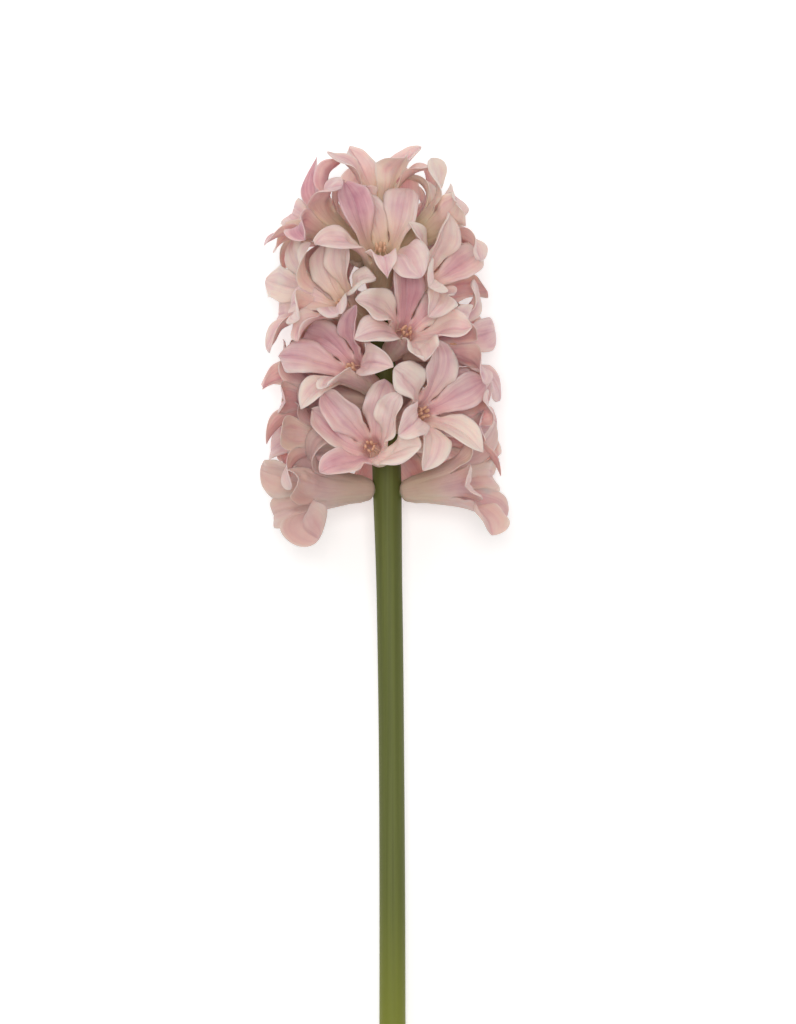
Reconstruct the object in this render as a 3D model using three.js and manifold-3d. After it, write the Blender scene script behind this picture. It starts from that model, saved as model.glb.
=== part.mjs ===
// A cut hyacinth: a straight green flower stem whose upper part carries a dense spike of pink,
// lily-shaped florets, laid down on a surface. It rests on the florets under the spike and on the
// cut end of the stem. Millimetres, +Z up, +Y from the cut end towards the tip of the spike.
//
// Everything is first set out in the stem's own frame: the origin at the centre of the cut end,
// y along the stem, x to the right and z towards someone who looks at the front of the spike.
import * as THREE from "three";
import { mergeVertices } from "three/addons/utils/BufferGeometryUtils.js";
import Module from "manifold-3d";

const wasm = await Module();
wasm.setup();

// The stem: its length, how far its top leans to the left, and its radius along its length
const STEM_LENGTH = 268;
const STEM_LEAN = 4.4;
const LEAN_POWER = 3.2;
const STEM_OUTLINE = [
  [0, 4.0],
  [120, 3.8],
  [170, 3.9],
  [200, 4.4],
  [232, 3.8],
  [255, 2.9],
  [268, 1.8],
];
const STEM_SIDES = 14;

// How the cut flower lies: the florets under the spike reach REST_DEPTH below the stem's centre
// line at REST_AT from the cut end, and the cut end itself has a small flat where it touches
const REST_AT = 236;
const REST_DEPTH = 32.6;
const CUT_END_FLAT = 0.25;
const LYING_TILT = Math.atan((REST_DEPTH - STEM_OUTLINE[0][1]) / REST_AT);
const GROUND_WIDTH = 200;
const GROUND_LENGTH = 800;
const GROUND_THICKNESS = 60;

// A floret of size 1: a tube that widens into six lobes, each curving out like a lily's
const SEAT_RADIUS = 6.4;
const TUBE_LENGTH = 13.8;
const TUBE_BASE_RADIUS = 2.1;
const TUBE_MOUTH_RADIUS = 5.2;
const CAVITY_FLOOR = 3;
const LOBES = 6;
const LOBE_LENGTH = 19.5;
const LOBE_HALF_WIDTH = 5.6;
const LOBE_CUP_RADIUS = 9;
const TEPAL_THICKNESS = 0.7;

// The lobe's outline: where it is widest, how full it is before that and how round towards its
// tip. Up to LOBE_FREE_FROM it fills no more than its sixth of the ring, then it may widen over
// its neighbours, as the inner three lobes stand WHORL_STEP inside and the outer three outside.
const LOBE_WIDEST_AT = 0.5;
const LOBE_BASE_FULLNESS = 0.55;
const LOBE_ROUNDNESS = 2.2;
const LOBE_TAPER = 0.62;
const LOBE_FREE_FROM = 0.3;
const LOBE_FREE_GAIN = 5;
const WHORL_STEP = 0.42;

// The pedicel that carries a floret, and the clearance kept between separate pieces
const PEDICEL_RADIUS = 1.8;
const PEDICEL_ROOT_RADIUS = 1.4;
const PEDICEL_SIDES = 6;
const CLEARANCE = 0.3;

const STEM_GREEN = 0x66743a;
const PETAL_PINK = 0xe3bdb9;

const DEGREE = Math.PI / 180;
const MERGE_DISTANCE = 1e-4;

// The florets that face the viewer, from the base of the spike to its tip.
// at: height on the stem in mm; side: degrees round the stem, 0 to the viewer, 90 to the right;
// rise: degrees above square to the stem; size: against the driving dimensions; flare: how much
// wider its tube is than most; lobes: for each of the six, the direction it points seen face on
// and how far it turns out, in degrees.
const FRONT_FLORETS = [
  {
    at: 195, side: -72, rise: 3, size: 1.02, flare: 1.3,
    lobes: [[5, 62], [50, 122], [110, 100], [158, 100], [206, 96], [334, 84]],
  },
  {
    at: 194, side: 76, rise: 9, size: 1.02, flare: 1.3,
    lobes: [[12, 92], [72, 110], [130, 120], [186, 112], [228, 78], [322, 98]],
  },
  {
    at: 203, side: -14, rise: 14, size: 0.95,
    lobes: [[-8, 86], [30, 100], [72, 104], [114, 90], [150, 120], [226, 64]],
  },
  {
    at: 208, side: -82, rise: 8, size: 1,
    lobes: [[0, 98], [40, 128], [110, 100], [183, 100], [240, 110], [300, 105]],
  },
  {
    at: 215, side: 92, rise: 4, size: 1,
    lobes: [[-10, 95], [55, 95], [118, 92], [170, 112], [215, 122], [290, 105]],
  },
  {
    at: 213, side: 35, rise: 14, size: 1,
    lobes: [[33, 116], [85, 95], [148, 90], [200, 128], [250, 128], [308, 108]],
  },
  {
    at: 221, side: -98, rise: 8, size: 1,
    lobes: [[-15, 92], [28, 104], [90, 98], [156, 105], [220, 104], [290, 100]],
  },
  {
    at: 223, side: -32, rise: 23, size: 1,
    lobes: [[-9, 112], [58, 48], [128, 100], [180, 98], [250, 86], [290, 66]],
  },
  {
    at: 233, side: 22, rise: 26, size: 1,
    lobes: [[-27, 50], [36, 122], [84, 108], [168, 96], [197, 96], [262, 80]],
  },
  {
    at: 236, side: 84, rise: 6, size: 1,
    lobes: [[-24, 104], [14, 84], [80, 100], [147, 140], [200, 112], [268, 104]],
  },
  {
    at: 241, side: -42, rise: 28, size: 0.94,
    lobes: [[12, 84], [76, 82], [130, 90], [190, 95], [250, 90], [320, 105]],
  },
  {
    at: 247, side: -76, rise: 14, size: 1,
    lobes: [[-21, 140], [24, 116], [90, 88], [150, 84], [200, 92], [300, 98]],
  },
  {
    at: 247, side: 50, rise: 28, size: 1,
    lobes: [[24, 95], [81, 70], [135, 84], [190, 114], [246, 128], [290, 95]],
  },
  {
    at: 251, side: 0, rise: 42, size: 1.06,
    lobes: [[-38, 88], [68, 122], [94, 108], [120, 98], [198, 90], [276, 126]],
  },
  {
    at: 262, side: -74, rise: 36, size: 1,
    lobes: [[-33, 74], [15, 130], [76, 110], [117, 90], [200, 100], [290, 108]],
  },
  {
    at: 263, side: 76, rise: 34, size: 0.96,
    lobes: [[-24, 104], [28, 112], [74, 84], [122, 80], [186, 70], [250, 112]],
  },
  {
    at: 264, side: 0, rise: 78, size: 0.92,
    lobes: [[10, 104], [32, 92], [126, 58], [180, 98], [238, 116], [300, 72]],
  },
];

// The florets on the far side follow the spike's spiral: rows one above the other, each row
// shifted by half a step. The lower rows are curled back the most, and higher rows rise more.
const BACK_ROWS = 4;
const BACK_EVEN_COLUMNS = [-1, 0, 1];
const BACK_ODD_COLUMNS = [-1.5, -0.5, 0.5, 1.5];
const BACK_ODD_ROLL = 30;
const BACK_FIRST_ROW = 209;
const BACK_ROW_STEP = 17;
const BACK_SIDE_STEP = 46;
const BACK_FIRST_RISE = 6;
const BACK_RISE_STEP = 11;
const BACK_OPEN_BELOW = 124;
const BACK_OPEN_STEP = 10;
const BACK_SIZE = 0.95;
const INNER_LOBE_CLOSER = 10;
const LOBE_PLAY = 16;
const SEED_PER_ROW = 1000;
const SEED_PER_COLUMN = 100;

// How far a lobe may bend to clear its neighbours, in steps more open or more closed and steps
// aside, and how often all lobes are gone through until they stand clear. A step has to save
// BEND_COST of shared volume in mm3, and a floret's own lobes count OWN_WEIGHT times.
const OPEN_STEPS = [0, 1, -1, 2, -2, 3, 4];
const OPEN_STEP = 14;
const SWING_STEPS = [0, 1, -1, 2, -2];
const SWING_STEP = 9;
const BENDING_ROUNDS = 3;
const OWN_WEIGHT = 20;
const BEND_COST = 0.25;
const TOUCHING_VOLUME = 0.002;

/** A stream of repeatable random numbers from 0 to 1. */
function randomStream(seed) {
  const modulus = 2147483647;
  let state = seed;
  return () => {
    state = (state * 16807) % modulus;
    return state / modulus;
  };
}

/** How far the stem's centre line stands to the side at a height. */
function lean(height) {
  return -STEM_LEAN * Math.pow(Math.max(height, 0) / STEM_LENGTH, LEAN_POWER);
}

/** The lobes of a far floret: evenly spread, the inner three less open, each with some play. */
function farLobes(row, column) {
  const random = randomStream(SEED_PER_ROW * (row + 1) + SEED_PER_COLUMN * (column + 2));
  const play = () => LOBE_PLAY * (random() - 0.5);
  return Array.from({ length: LOBES }, (_, lobe) => [
    (lobe * 360) / LOBES + BACK_ODD_ROLL * (row % 2) + play(),
    BACK_OPEN_BELOW - BACK_OPEN_STEP * row - (lobe % 2) * INNER_LOBE_CLOSER + play(),
  ]);
}

/** All florets, those facing the viewer first. */
function allFlorets() {
  const florets = [...FRONT_FLORETS];
  for (let row = 0; row < BACK_ROWS; row += 1) {
    (row % 2 === 0 ? BACK_EVEN_COLUMNS : BACK_ODD_COLUMNS).forEach((column) => {
      florets.push({
        at: BACK_FIRST_ROW + row * BACK_ROW_STEP,
        side: 180 + column * BACK_SIDE_STEP,
        rise: BACK_FIRST_RISE + BACK_RISE_STEP * row,
        size: BACK_SIZE,
        lobes: farLobes(row, column),
      });
    });
  }
  return florets;
}

/** The frame of a floret: its seat on the pedicel, with z along its tube and y towards the tip. */
function floretFrame(floret) {
  const side = floret.side * DEGREE;
  const rise = floret.rise * DEGREE;
  const axis = new THREE.Vector3(
    Math.cos(rise) * Math.sin(side),
    Math.sin(rise),
    Math.cos(rise) * Math.cos(side),
  );
  const seat = new THREE.Vector3(lean(floret.at), floret.at, 0).addScaledVector(axis, SEAT_RADIUS);
  const tipwards = new THREE.Vector3(0, 1, 0).addScaledVector(axis, -axis.y).normalize();
  const across = new THREE.Vector3().crossVectors(tipwards, axis);
  return new THREE.Matrix4().makeBasis(across, tipwards, axis).setPosition(seat);
}

/** A point of the tube's wall, lift inwards of its middle. */
function tubePoint(flare, along, angle, lift) {
  const share = along / TUBE_LENGTH;
  const middle = TUBE_BASE_RADIUS + (TUBE_MOUTH_RADIUS - TUBE_BASE_RADIUS) * share;
  const radius = flare * middle - lift;
  return new THREE.Vector3(radius * Math.cos(angle), radius * Math.sin(angle), along);
}

/** Half the width of a lobe at a share of its length, from the mouth to the tip. */
function lobeHalfWidth(share) {
  if (share < LOBE_WIDEST_AT) {
    const part = share / LOBE_WIDEST_AT;
    const swell = part * part * (3 - 2 * part);
    return LOBE_HALF_WIDTH * (LOBE_BASE_FULLNESS + (1 - LOBE_BASE_FULLNESS) * swell);
  }
  const part = (Math.min(share, 1) - LOBE_WIDEST_AT) / (1 - LOBE_WIDEST_AT);
  return LOBE_HALF_WIDTH * Math.pow(1 - Math.pow(part, LOBE_ROUNDNESS), LOBE_TAPER);
}

/**
 * A point of a lobe. share runs from the mouth to the tip, across from -1 to 1 over the width,
 * lift is the distance off the middle of the blade towards the floret's axis.
 */
function lobePoint(lobe, share, across, lift, grow = 0) {
  const mouth = lobe.flare * TUBE_MOUTH_RADIUS;
  const slope = Math.atan((mouth - lobe.flare * TUBE_BASE_RADIUS) / TUBE_LENGTH);
  const turn = lobe.open * DEGREE - slope;
  const bend = slope + turn * share;
  const curve = LOBE_LENGTH / turn;
  const radius = mouth + curve * (Math.cos(slope) - Math.cos(bend));
  const height = TUBE_LENGTH + curve * (Math.sin(bend) - Math.sin(slope));
  const angle = lobe.slot + lobe.swing * DEGREE * Math.sin((Math.min(share, 1) * Math.PI) / 2);
  const cup = mouth + (LOBE_CUP_RADIUS - mouth) * share;
  const ring = (radius * Math.PI) / LOBES + LOBE_FREE_GAIN * Math.max(0, share - LOBE_FREE_FROM);
  const halfWidth = Math.min(lobeHalfWidth(share), ring) + grow;
  const arc = (across * halfWidth) / cup;
  const step = lobe.whorl * WHORL_STEP * Math.min(share / LOBE_FREE_FROM, 1);
  const inward = cup * (1 - Math.cos(arc)) + lift + step;
  const sideways = (cup - lift) * Math.sin(arc);
  const out = radius - inward * Math.cos(bend);
  const up = height + inward * Math.sin(bend);
  return new THREE.Vector3(
    out * Math.cos(angle) - sideways * Math.sin(angle),
    out * Math.sin(angle) + sideways * Math.cos(angle),
    up,
  );
}

/** A solid from a list of points and a list of triangles. */
function solidFrom(points, triangles) {
  const positions = points.flatMap((point) => [point.x, point.y, point.z]);
  return new wasm.Manifold(
    new wasm.Mesh({
      numProp: 3,
      vertProperties: new Float32Array(positions),
      triVerts: new Uint32Array(triangles.flat()),
    }),
  );
}

/** A solid from a three.js geometry. */
function solidFromGeometry(geometry) {
  const bare = geometry.clone();
  bare.deleteAttribute("normal");
  bare.deleteAttribute("uv");
  const merged = mergeVertices(bare, MERGE_DISTANCE);
  return new wasm.Manifold(
    new wasm.Mesh({
      numProp: 3,
      vertProperties: new Float32Array(merged.attributes.position.array),
      triVerts: new Uint32Array(merged.index.array),
    }),
  );
}

/** A three.js geometry from a solid. */
function geometryFromSolid(solid) {
  const mesh = solid.getMesh();
  const geometry = new THREE.BufferGeometry();
  geometry.setAttribute("position", new THREE.BufferAttribute(mesh.vertProperties, mesh.numProp));
  geometry.setIndex(new THREE.BufferAttribute(mesh.triVerts, 1));
  return geometry;
}

// Rows of a lobe between its mouth and its tip, as shares of its length, and the row at which a
// lobe that is looked at by itself starts
const LOBE_ROWS = [0.3, 0.6, 0.85];
const BLADE_START = 0.06;
const OWN_BLADE_START = 0.2;
const ACROSS = [-1, 0, 1];

/** One lobe by itself as a closed blade, thickened by grow all round. */
function lobeBlade(lobe, grow, start = BLADE_START) {
  const points = [];
  const triangles = [];
  const half = TEPAL_THICKNESS / 2 + grow;
  const rows = [start, ...LOBE_ROWS];
  const tipShare = 1 + grow / LOBE_LENGTH;
  [-half, half].forEach((lift) => {
    rows.forEach((share) => {
      ACROSS.forEach((across) => points.push(lobePoint(lobe, share, across, lift, grow)));
    });
    points.push(lobePoint(lobe, tipShare, 0, lift));
  });
  const face = rows.length * ACROSS.length + 1;
  addLobeFaces(triangles, (row, column) => row * ACROSS.length + column, face, rows.length, face - 1);
  const [left, middle, right] = [0, 1, 2];
  triangles.push([left, face + middle, middle], [left, face + left, face + middle]);
  triangles.push([middle, face + right, right], [middle, face + middle, face + right]);
  return solidFrom(points, triangles);
}

/**
 * The two faces and the rim of a lobe. vertex(row, column) gives an outer vertex, the matching
 * inner one is offset further on, and both faces are split into triangles alike.
 */
function addLobeFaces(triangles, vertex, offset, rowCount, tip) {
  const addBothFaces = (a, b, c) => {
    triangles.push([a, b, c], [a + offset, c + offset, b + offset]);
  };
  const addRim = (from, to) => {
    triangles.push([to, from, from + offset], [to, from + offset, to + offset]);
  };
  for (let row = 0; row < rowCount - 1; row += 1) {
    for (let column = 0; column < 2; column += 1) {
      const a = vertex(row, column);
      const b = vertex(row, column + 1);
      const c = vertex(row + 1, column + 1);
      const d = vertex(row + 1, column);
      addBothFaces(a, b, c);
      addBothFaces(a, c, d);
    }
    addRim(vertex(row, 2), vertex(row + 1, 2));
    addRim(vertex(row + 1, 0), vertex(row, 0));
  }
  const last = rowCount - 1;
  addBothFaces(vertex(last, 0), vertex(last, 1), tip);
  addBothFaces(vertex(last, 1), vertex(last, 2), tip);
  addRim(vertex(last, 2), tip);
  addRim(tip, vertex(last, 0));
}

/** The whole perianth of a floret as one closed solid: the tube and its lobes. */
function perianthSolid(lobes, grow = 0) {
  const half = TEPAL_THICKNESS / 2 + grow;
  const columns = LOBES * 2;
  const tubeRows = [
    [-grow, TUBE_LENGTH],
    [CAVITY_FLOOR + grow, TUBE_LENGTH],
  ];
  const points = [];
  [-half, half].forEach((lift, face) => {
    tubeRows[face].forEach((along) => {
      for (let column = 0; column < columns; column += 1) {
        const angle = lobes[0].slot + ((column - 1) * Math.PI) / LOBES;
        points.push(tubePoint(lobes[0].flare, along, angle, lift));
      }
    });
    lobes.forEach((lobe) => {
      LOBE_ROWS.forEach((share) => {
        ACROSS.forEach((across) => points.push(lobePoint(lobe, share, across, lift, grow)));
      });
      points.push(lobePoint(lobe, 1 + grow / LOBE_LENGTH, 0, lift));
    });
    points.push(new THREE.Vector3(0, 0, tubeRows[face][0]));
  });
  const offset = points.length / 2;
  const triangles = [];
  for (let column = 0; column < columns; column += 1) {
    const next = (column + 1) % columns;
    const [a, b, c, d] = [column, next, columns + next, columns + column];
    triangles.push([a, b, c], [a, c, d]);
    triangles.push([a + offset, c + offset, b + offset], [a + offset, d + offset, c + offset]);
    triangles.push([offset - 1, b, a], [2 * offset - 1, a + offset, b + offset]);
  }
  const lobeSize = LOBE_ROWS.length * ACROSS.length + 1;
  lobes.forEach((_, index) => {
    const first = 2 * columns + index * lobeSize;
    const vertex = (row, column) =>
      row === 0
        ? columns + ((index * 2 + column) % columns)
        : first + (row - 1) * ACROSS.length + column;
    addLobeFaces(triangles, vertex, offset, LOBE_ROWS.length + 1, first + lobeSize - 1);
  });
  return solidFrom(points, triangles);
}

/** The tube alone, thickened by grow, as what the lobes of other florets keep clear of. */
function tubeSolid(flare, grow) {
  const tube = new THREE.CylinderGeometry(
    flare * TUBE_MOUTH_RADIUS + TEPAL_THICKNESS / 2 + grow,
    flare * TUBE_BASE_RADIUS + TEPAL_THICKNESS / 2 + grow,
    TUBE_LENGTH + 2 * grow,
    LOBES * 2,
  );
  tube.rotateX(Math.PI / 2).translate(0, 0, TUBE_LENGTH / 2);
  return solidFromGeometry(tube);
}

/** The bare stem, thickened by grow. */
function bareStem(grow = 0) {
  const profile = STEM_OUTLINE.map(([height, radius]) => new THREE.Vector2(radius + grow, height));
  profile.unshift(new THREE.Vector2(0, 0));
  profile.push(new THREE.Vector2(0, STEM_LENGTH + grow));
  const lathe = new THREE.LatheGeometry(profile, STEM_SIDES);
  const position = lathe.attributes.position;
  for (let i = 0; i < position.count; i += 1) {
    position.setX(i, position.getX(i) + lean(position.getY(i)));
  }
  return solidFromGeometry(lathe);
}

/** The pedicel that ends just under a floret's seat, thickened by grow, with its end further on. */
function pedicelSolid(frame, grow = 0, further = 0) {
  const length = SEAT_RADIUS;
  const pedicel = new THREE.CylinderGeometry(
    PEDICEL_RADIUS + grow,
    PEDICEL_ROOT_RADIUS + grow,
    length,
    PEDICEL_SIDES,
  );
  pedicel.rotateX(Math.PI / 2).translate(0, 0, further - length / 2 - CLEARANCE);
  return solidFromGeometry(pedicel.applyMatrix4(frame));
}

/** The space under the surface that the flower lies on, in the stem's frame. */
function groundSolid() {
  const box = new THREE.BoxGeometry(GROUND_WIDTH, GROUND_LENGTH, GROUND_THICKNESS);
  box.translate(0, 0, -GROUND_THICKNESS / 2);
  box.rotateX(-LYING_TILT);
  box.translate(0, 0, -STEM_OUTLINE[0][1] + CUT_END_FLAT);
  return solidFromGeometry(box);
}

/** The ways a lobe may bend to clear its neighbours, mildest first. */
function lobeBends() {
  const bends = OPEN_STEPS.flatMap((open) => SWING_STEPS.map((swing) => [open, swing]));
  return bends.sort(([a, b], [c, d]) => Math.abs(a) + Math.abs(b) - Math.abs(c) - Math.abs(d));
}

/** The six lobes of a floret before they bend clear of their neighbours. */
function naturalLobes(floret) {
  const slotStep = 360 / LOBES;
  const offsets = floret.lobes.map(([angle], lobe) => angle - lobe * slotStep);
  const roll = offsets.reduce((sum, offset) => sum + offset, 0) / LOBES;
  return floret.lobes.map(([, open], lobe) => ({
    slot: (roll + lobe * slotStep) * DEGREE,
    swing: offsets[lobe] - roll,
    open,
    flare: floret.flare ?? 1,
    whorl: lobe % 2 === 0 ? -1 : 1,
  }));
}

/** A solid set out by a matrix, with the box around it. */
function placed(solid, matrix = new THREE.Matrix4()) {
  const moved = solid.transform(matrix.elements);
  return { solid: moved, box: moved.boundingBox() };
}

/** Whether the boxes of two placed solids meet. */
function boxesMeet({ box: a }, { box: b }) {
  return [0, 1, 2].every((axis) => a.min[axis] <= b.max[axis] && b.min[axis] <= a.max[axis]);
}

/** How much of a placed solid lies inside the obstacles near it. */
function overlap(piece, obstacles) {
  let sum = 0;
  obstacles.forEach((obstacle) => {
    if (!boxesMeet(piece, obstacle)) return;
    const shared = piece.solid.intersect(obstacle.solid);
    sum += shared.volume();
    shared.delete();
  });
  return sum;
}

const florets = allFlorets();
const frames = florets.map(floretFrame);
const placements = frames.map((frame, index) => {
  const { size } = florets[index];
  return frame.clone().multiply(new THREE.Matrix4().makeScale(size, size, size));
});
const bends = lobeBends();
const ground = placed(groundSolid());
const pedicels = frames.map((frame) => pedicelSolid(frame));
const stem = pedicels.reduce((body, pedicel) => body.add(pedicel), bareStem());
const stemClearance = placed(bareStem(CLEARANCE));
const ownPedicels = frames.map((frame) => placed(pedicelSolid(frame, CLEARANCE)));
const otherPedicels = frames.map((frame) => placed(pedicelSolid(frame, CLEARANCE, CLEARANCE)));
const tubes = placements.map((matrix, index) =>
  placed(tubeSolid(florets[index].flare ?? 1, CLEARANCE), matrix),
);

// The lobes of each floret as they are bent so far, with their blades and what these clear
const spread = florets.map(naturalLobes);
const bent = florets.map((_, index) => [...spread[index]]);
const blades = florets.map(() => []);
const cleared = florets.map(() => []);

/** What the lobes of a floret have to keep clear of, its own lobes left aside. */
function obstaclesOf(index) {
  const isOther = (_, other) => other !== index;
  return [
    ground,
    stemClearance,
    ...otherPedicels.filter(isOther),
    ownPedicels[index],
    ...tubes.filter(isOther),
    ...cleared.filter(isOther).flat(),
  ];
}

/** Bends one lobe of a floret as little as keeps it clear of everything around it. */
function bendLobe(index, lobeIndex, obstacles) {
  const matrix = placements[index];
  const natural = spread[index][lobeIndex];
  const own = blades[index].filter((_, other) => other !== lobeIndex);
  const crossing = (lobe) => {
    const blade = placed(lobeBlade(lobe, 0), matrix);
    const upperBlade = placed(lobeBlade(lobe, 0, OWN_BLADE_START), matrix);
    const volume = overlap(blade, obstacles) + OWN_WEIGHT * overlap(upperBlade, own);
    blade.solid.delete();
    upperBlade.solid.delete();
    return volume;
  };
  let best = natural;
  let least = Infinity;
  for (const [open, swing] of bends) {
    const effort = BEND_COST * (Math.abs(open) + Math.abs(swing));
    if (effort >= least) break;
    const lobe = {
      ...natural,
      open: natural.open + open * OPEN_STEP,
      swing: natural.swing + swing * SWING_STEP,
    };
    const cost = crossing(lobe) + effort;
    if (cost < least) {
      best = lobe;
      least = cost;
    }
  }
  bent[index][lobeIndex] = best;
  blades[index][lobeIndex] = placed(lobeBlade(best, 0, OWN_BLADE_START), matrix);
  cleared[index][lobeIndex] = placed(lobeBlade(best, CLEARANCE), matrix);
}

// In the first round the florets that face the viewer find the others still missing, and in the
// further rounds the far ones give way first
for (let round = 0; round < BENDING_ROUNDS; round += 1) {
  const order = florets.map((_, index) => index);
  (round === 0 ? order : order.reverse()).forEach((index) => {
    const obstacles = obstaclesOf(index);
    for (let lobe = 0; lobe < LOBES; lobe += 1) {
      bendLobe(index, lobe, obstacles);
    }
  });
}

// What still crosses is cut back by the clearance, and the part that hangs on the tube stays
const envelopes = bent.map((lobes, index) =>
  placed(perianthSolid(lobes, CLEARANCE), placements[index]),
);
const perianths = bent.map((lobes, index) => {
  const whole = placed(perianthSolid(lobes), placements[index]);
  const around = otherPedicels.map((other, at) => (at === index ? ownPedicels[index] : other));
  const cut = [stemClearance, ...around, ...envelopes.slice(0, index)]
    .filter((neighbour) => overlap(whole, [neighbour]) > TOUCHING_VOLUME)
    .reduce((rest, neighbour) => rest.subtract(neighbour.solid), whole.solid)
    .subtract(ground.solid);
  return cut.decompose().sort((a, b) => b.volume() - a.volume())[0];
});

const flower = new THREE.Group();
const stemMesh = new THREE.Mesh(
  geometryFromSolid(stem.subtract(ground.solid)),
  new THREE.MeshStandardMaterial({ color: STEM_GREEN, roughness: 0.55 }),
);
stemMesh.name = "stem";
flower.add(stemMesh);
perianths.forEach((solid, index) => {
  const local = solid.transform(frames[index].clone().invert().elements);
  const mesh = new THREE.Mesh(
    geometryFromSolid(local),
    new THREE.MeshStandardMaterial({ color: PETAL_PINK, roughness: 0.6 }),
  );
  mesh.name = `floret_${String(index + 1).padStart(2, "0")}`;
  mesh.applyMatrix4(frames[index]);
  flower.add(mesh);
});

flower.rotation.x = LYING_TILT;
flower.updateMatrixWorld(true);
const bounds = new THREE.Box3().setFromObject(flower, true);
const centre = bounds.getCenter(new THREE.Vector3());
flower.position.set(-centre.x, -centre.y, -bounds.min.z);

export default flower;
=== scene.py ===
"""A cut hyacinth in bloom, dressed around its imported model.

The flower lies on a pale floor and the camera looks down on it. Every floret is rebuilt as one fine
closed skin on the form that its solid follows, so each lobe stays where its solid is. The stem, the
pedicels, the stamens and the pistils are swept by Geometry Nodes. Sizes are in millimetres and meshes
are made in metres. Directions round the stem are in degrees, 0 to the viewer and 90 to the right.
"""

import logging
import math
from collections.abc import Sequence
from dataclasses import dataclass, field, replace
from enum import Enum

import bpy
import numpy as np
from mathutils import Matrix, Vector
from mathutils.bvhtree import BVHTree


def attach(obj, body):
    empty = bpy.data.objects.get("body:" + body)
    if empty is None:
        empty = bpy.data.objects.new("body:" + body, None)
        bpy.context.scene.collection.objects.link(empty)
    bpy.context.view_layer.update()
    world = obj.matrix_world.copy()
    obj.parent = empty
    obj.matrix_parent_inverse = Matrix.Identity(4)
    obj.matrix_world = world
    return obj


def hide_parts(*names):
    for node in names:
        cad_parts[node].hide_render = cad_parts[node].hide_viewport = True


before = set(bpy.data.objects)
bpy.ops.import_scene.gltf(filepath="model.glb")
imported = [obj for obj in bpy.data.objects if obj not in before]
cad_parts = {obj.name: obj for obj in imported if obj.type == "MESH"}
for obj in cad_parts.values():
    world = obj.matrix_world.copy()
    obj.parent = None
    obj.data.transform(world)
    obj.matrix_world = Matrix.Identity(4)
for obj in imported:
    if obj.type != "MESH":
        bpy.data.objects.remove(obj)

log = logging.getLogger("hyacinth")

MM = 0.001
BODY = "root"

Colour = tuple[float, float, float, float]
Triple = tuple[float, float, float]
Pair = tuple[float, float]
Profile = tuple[Pair, ...]
Array = np.ndarray
Piece = bpy.types.Object
Socket = bpy.types.NodeSocket
Material = bpy.types.Material


class Slot(Enum):
    """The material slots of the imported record."""

    STEM = "stem"
    PETAL = "petal"


class Whorl(Enum):
    """The ring of three that a lobe belongs to, and the way it steps off the middle of both."""

    OUTER = -1
    INNER = 1


class Face(Enum):
    """The two sides of a petal."""

    OUTER = 0
    INNER = 1


def shade(code: str) -> Colour:
    """Turns a written colour into the linear one that shaders take.

    Args:
        code: Red, green and blue as six hexadecimal digits after a hash sign.

    Returns:
        The linear colour with full opacity.
    """
    parts = [int(code[at : at + 2], 16) / 255 for at in (1, 3, 5)]
    linear = [part / 12.92 if part <= 0.04045 else ((part + 0.055) / 1.055) ** 2.4 for part in parts]
    return (linear[0], linear[1], linear[2], 1.0)


def ease(value: Array | float, low: float, high: float) -> Array:
    """Rises softly from 0 at low to 1 at high."""
    part = np.clip((np.asarray(value, float) - low) / (high - low), 0, 1)
    return part * part * (3 - 2 * part)


def joined(*parts: Array | float) -> Array:
    """Joins coordinates, spread over the same rows and columns, to points."""
    return np.stack(np.broadcast_arrays(*parts), axis=-1)


class SeededDraws:
    """A repeatable stream of random numbers."""

    MODULUS = 2147483647
    FACTOR = 16807

    def __init__(self, seed: int) -> None:
        """Starts the stream at a seed above 0."""
        self.state = seed

    def share(self) -> float:
        """Draws a number from 0 to 1."""
        self.state = self.state * self.FACTOR % self.MODULUS
        return self.state / self.MODULUS

    def between(self, low: float, high: float) -> float:
        """Draws a number from low to high."""
        return low + (high - low) * self.share()


@dataclass(frozen=True)
class StemLine:
    """The stem's centre line and its radius along its length.

    Attributes:
        length: From the cut end to the top of the stem.
        lean: How far the top leans to the left.
        lean_power: How late the lean sets in.
        outline: Heights with the radius at each.
        smoothing: How far to both sides radii are averaged.
        samples: How many are averaged.
    """

    length: float = 268
    lean: float = 4.4
    lean_power: float = 3.2
    outline: Profile = ((0, 4.0), (120, 3.8), (170, 3.9), (200, 4.4), (232, 3.8), (255, 2.9), (268, 1.8))
    smoothing: float = 6.0
    samples: int = 9

    def aside(self, height: float) -> float:
        """How far the centre line stands to the side at a height."""
        return -self.lean * (max(height, 0.0) / self.length) ** self.lean_power

    def radius(self, height: float) -> float:
        """The radius at a height, with the outline's corners smoothed away."""
        around = height + self.smoothing * np.linspace(-1, 1, self.samples)
        return float(np.interp(around, *zip(*self.outline)).mean())


def node_points(name: str) -> Array:
    """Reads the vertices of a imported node.

    Args:
        name: The node.

    Returns:
        The points in millimetres.
    """
    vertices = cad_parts[name].data.vertices
    points = np.empty(len(vertices) * 3, np.float32)
    vertices.foreach_get("co", points)
    return points.reshape(-1, 3).astype(float) / MM


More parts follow.
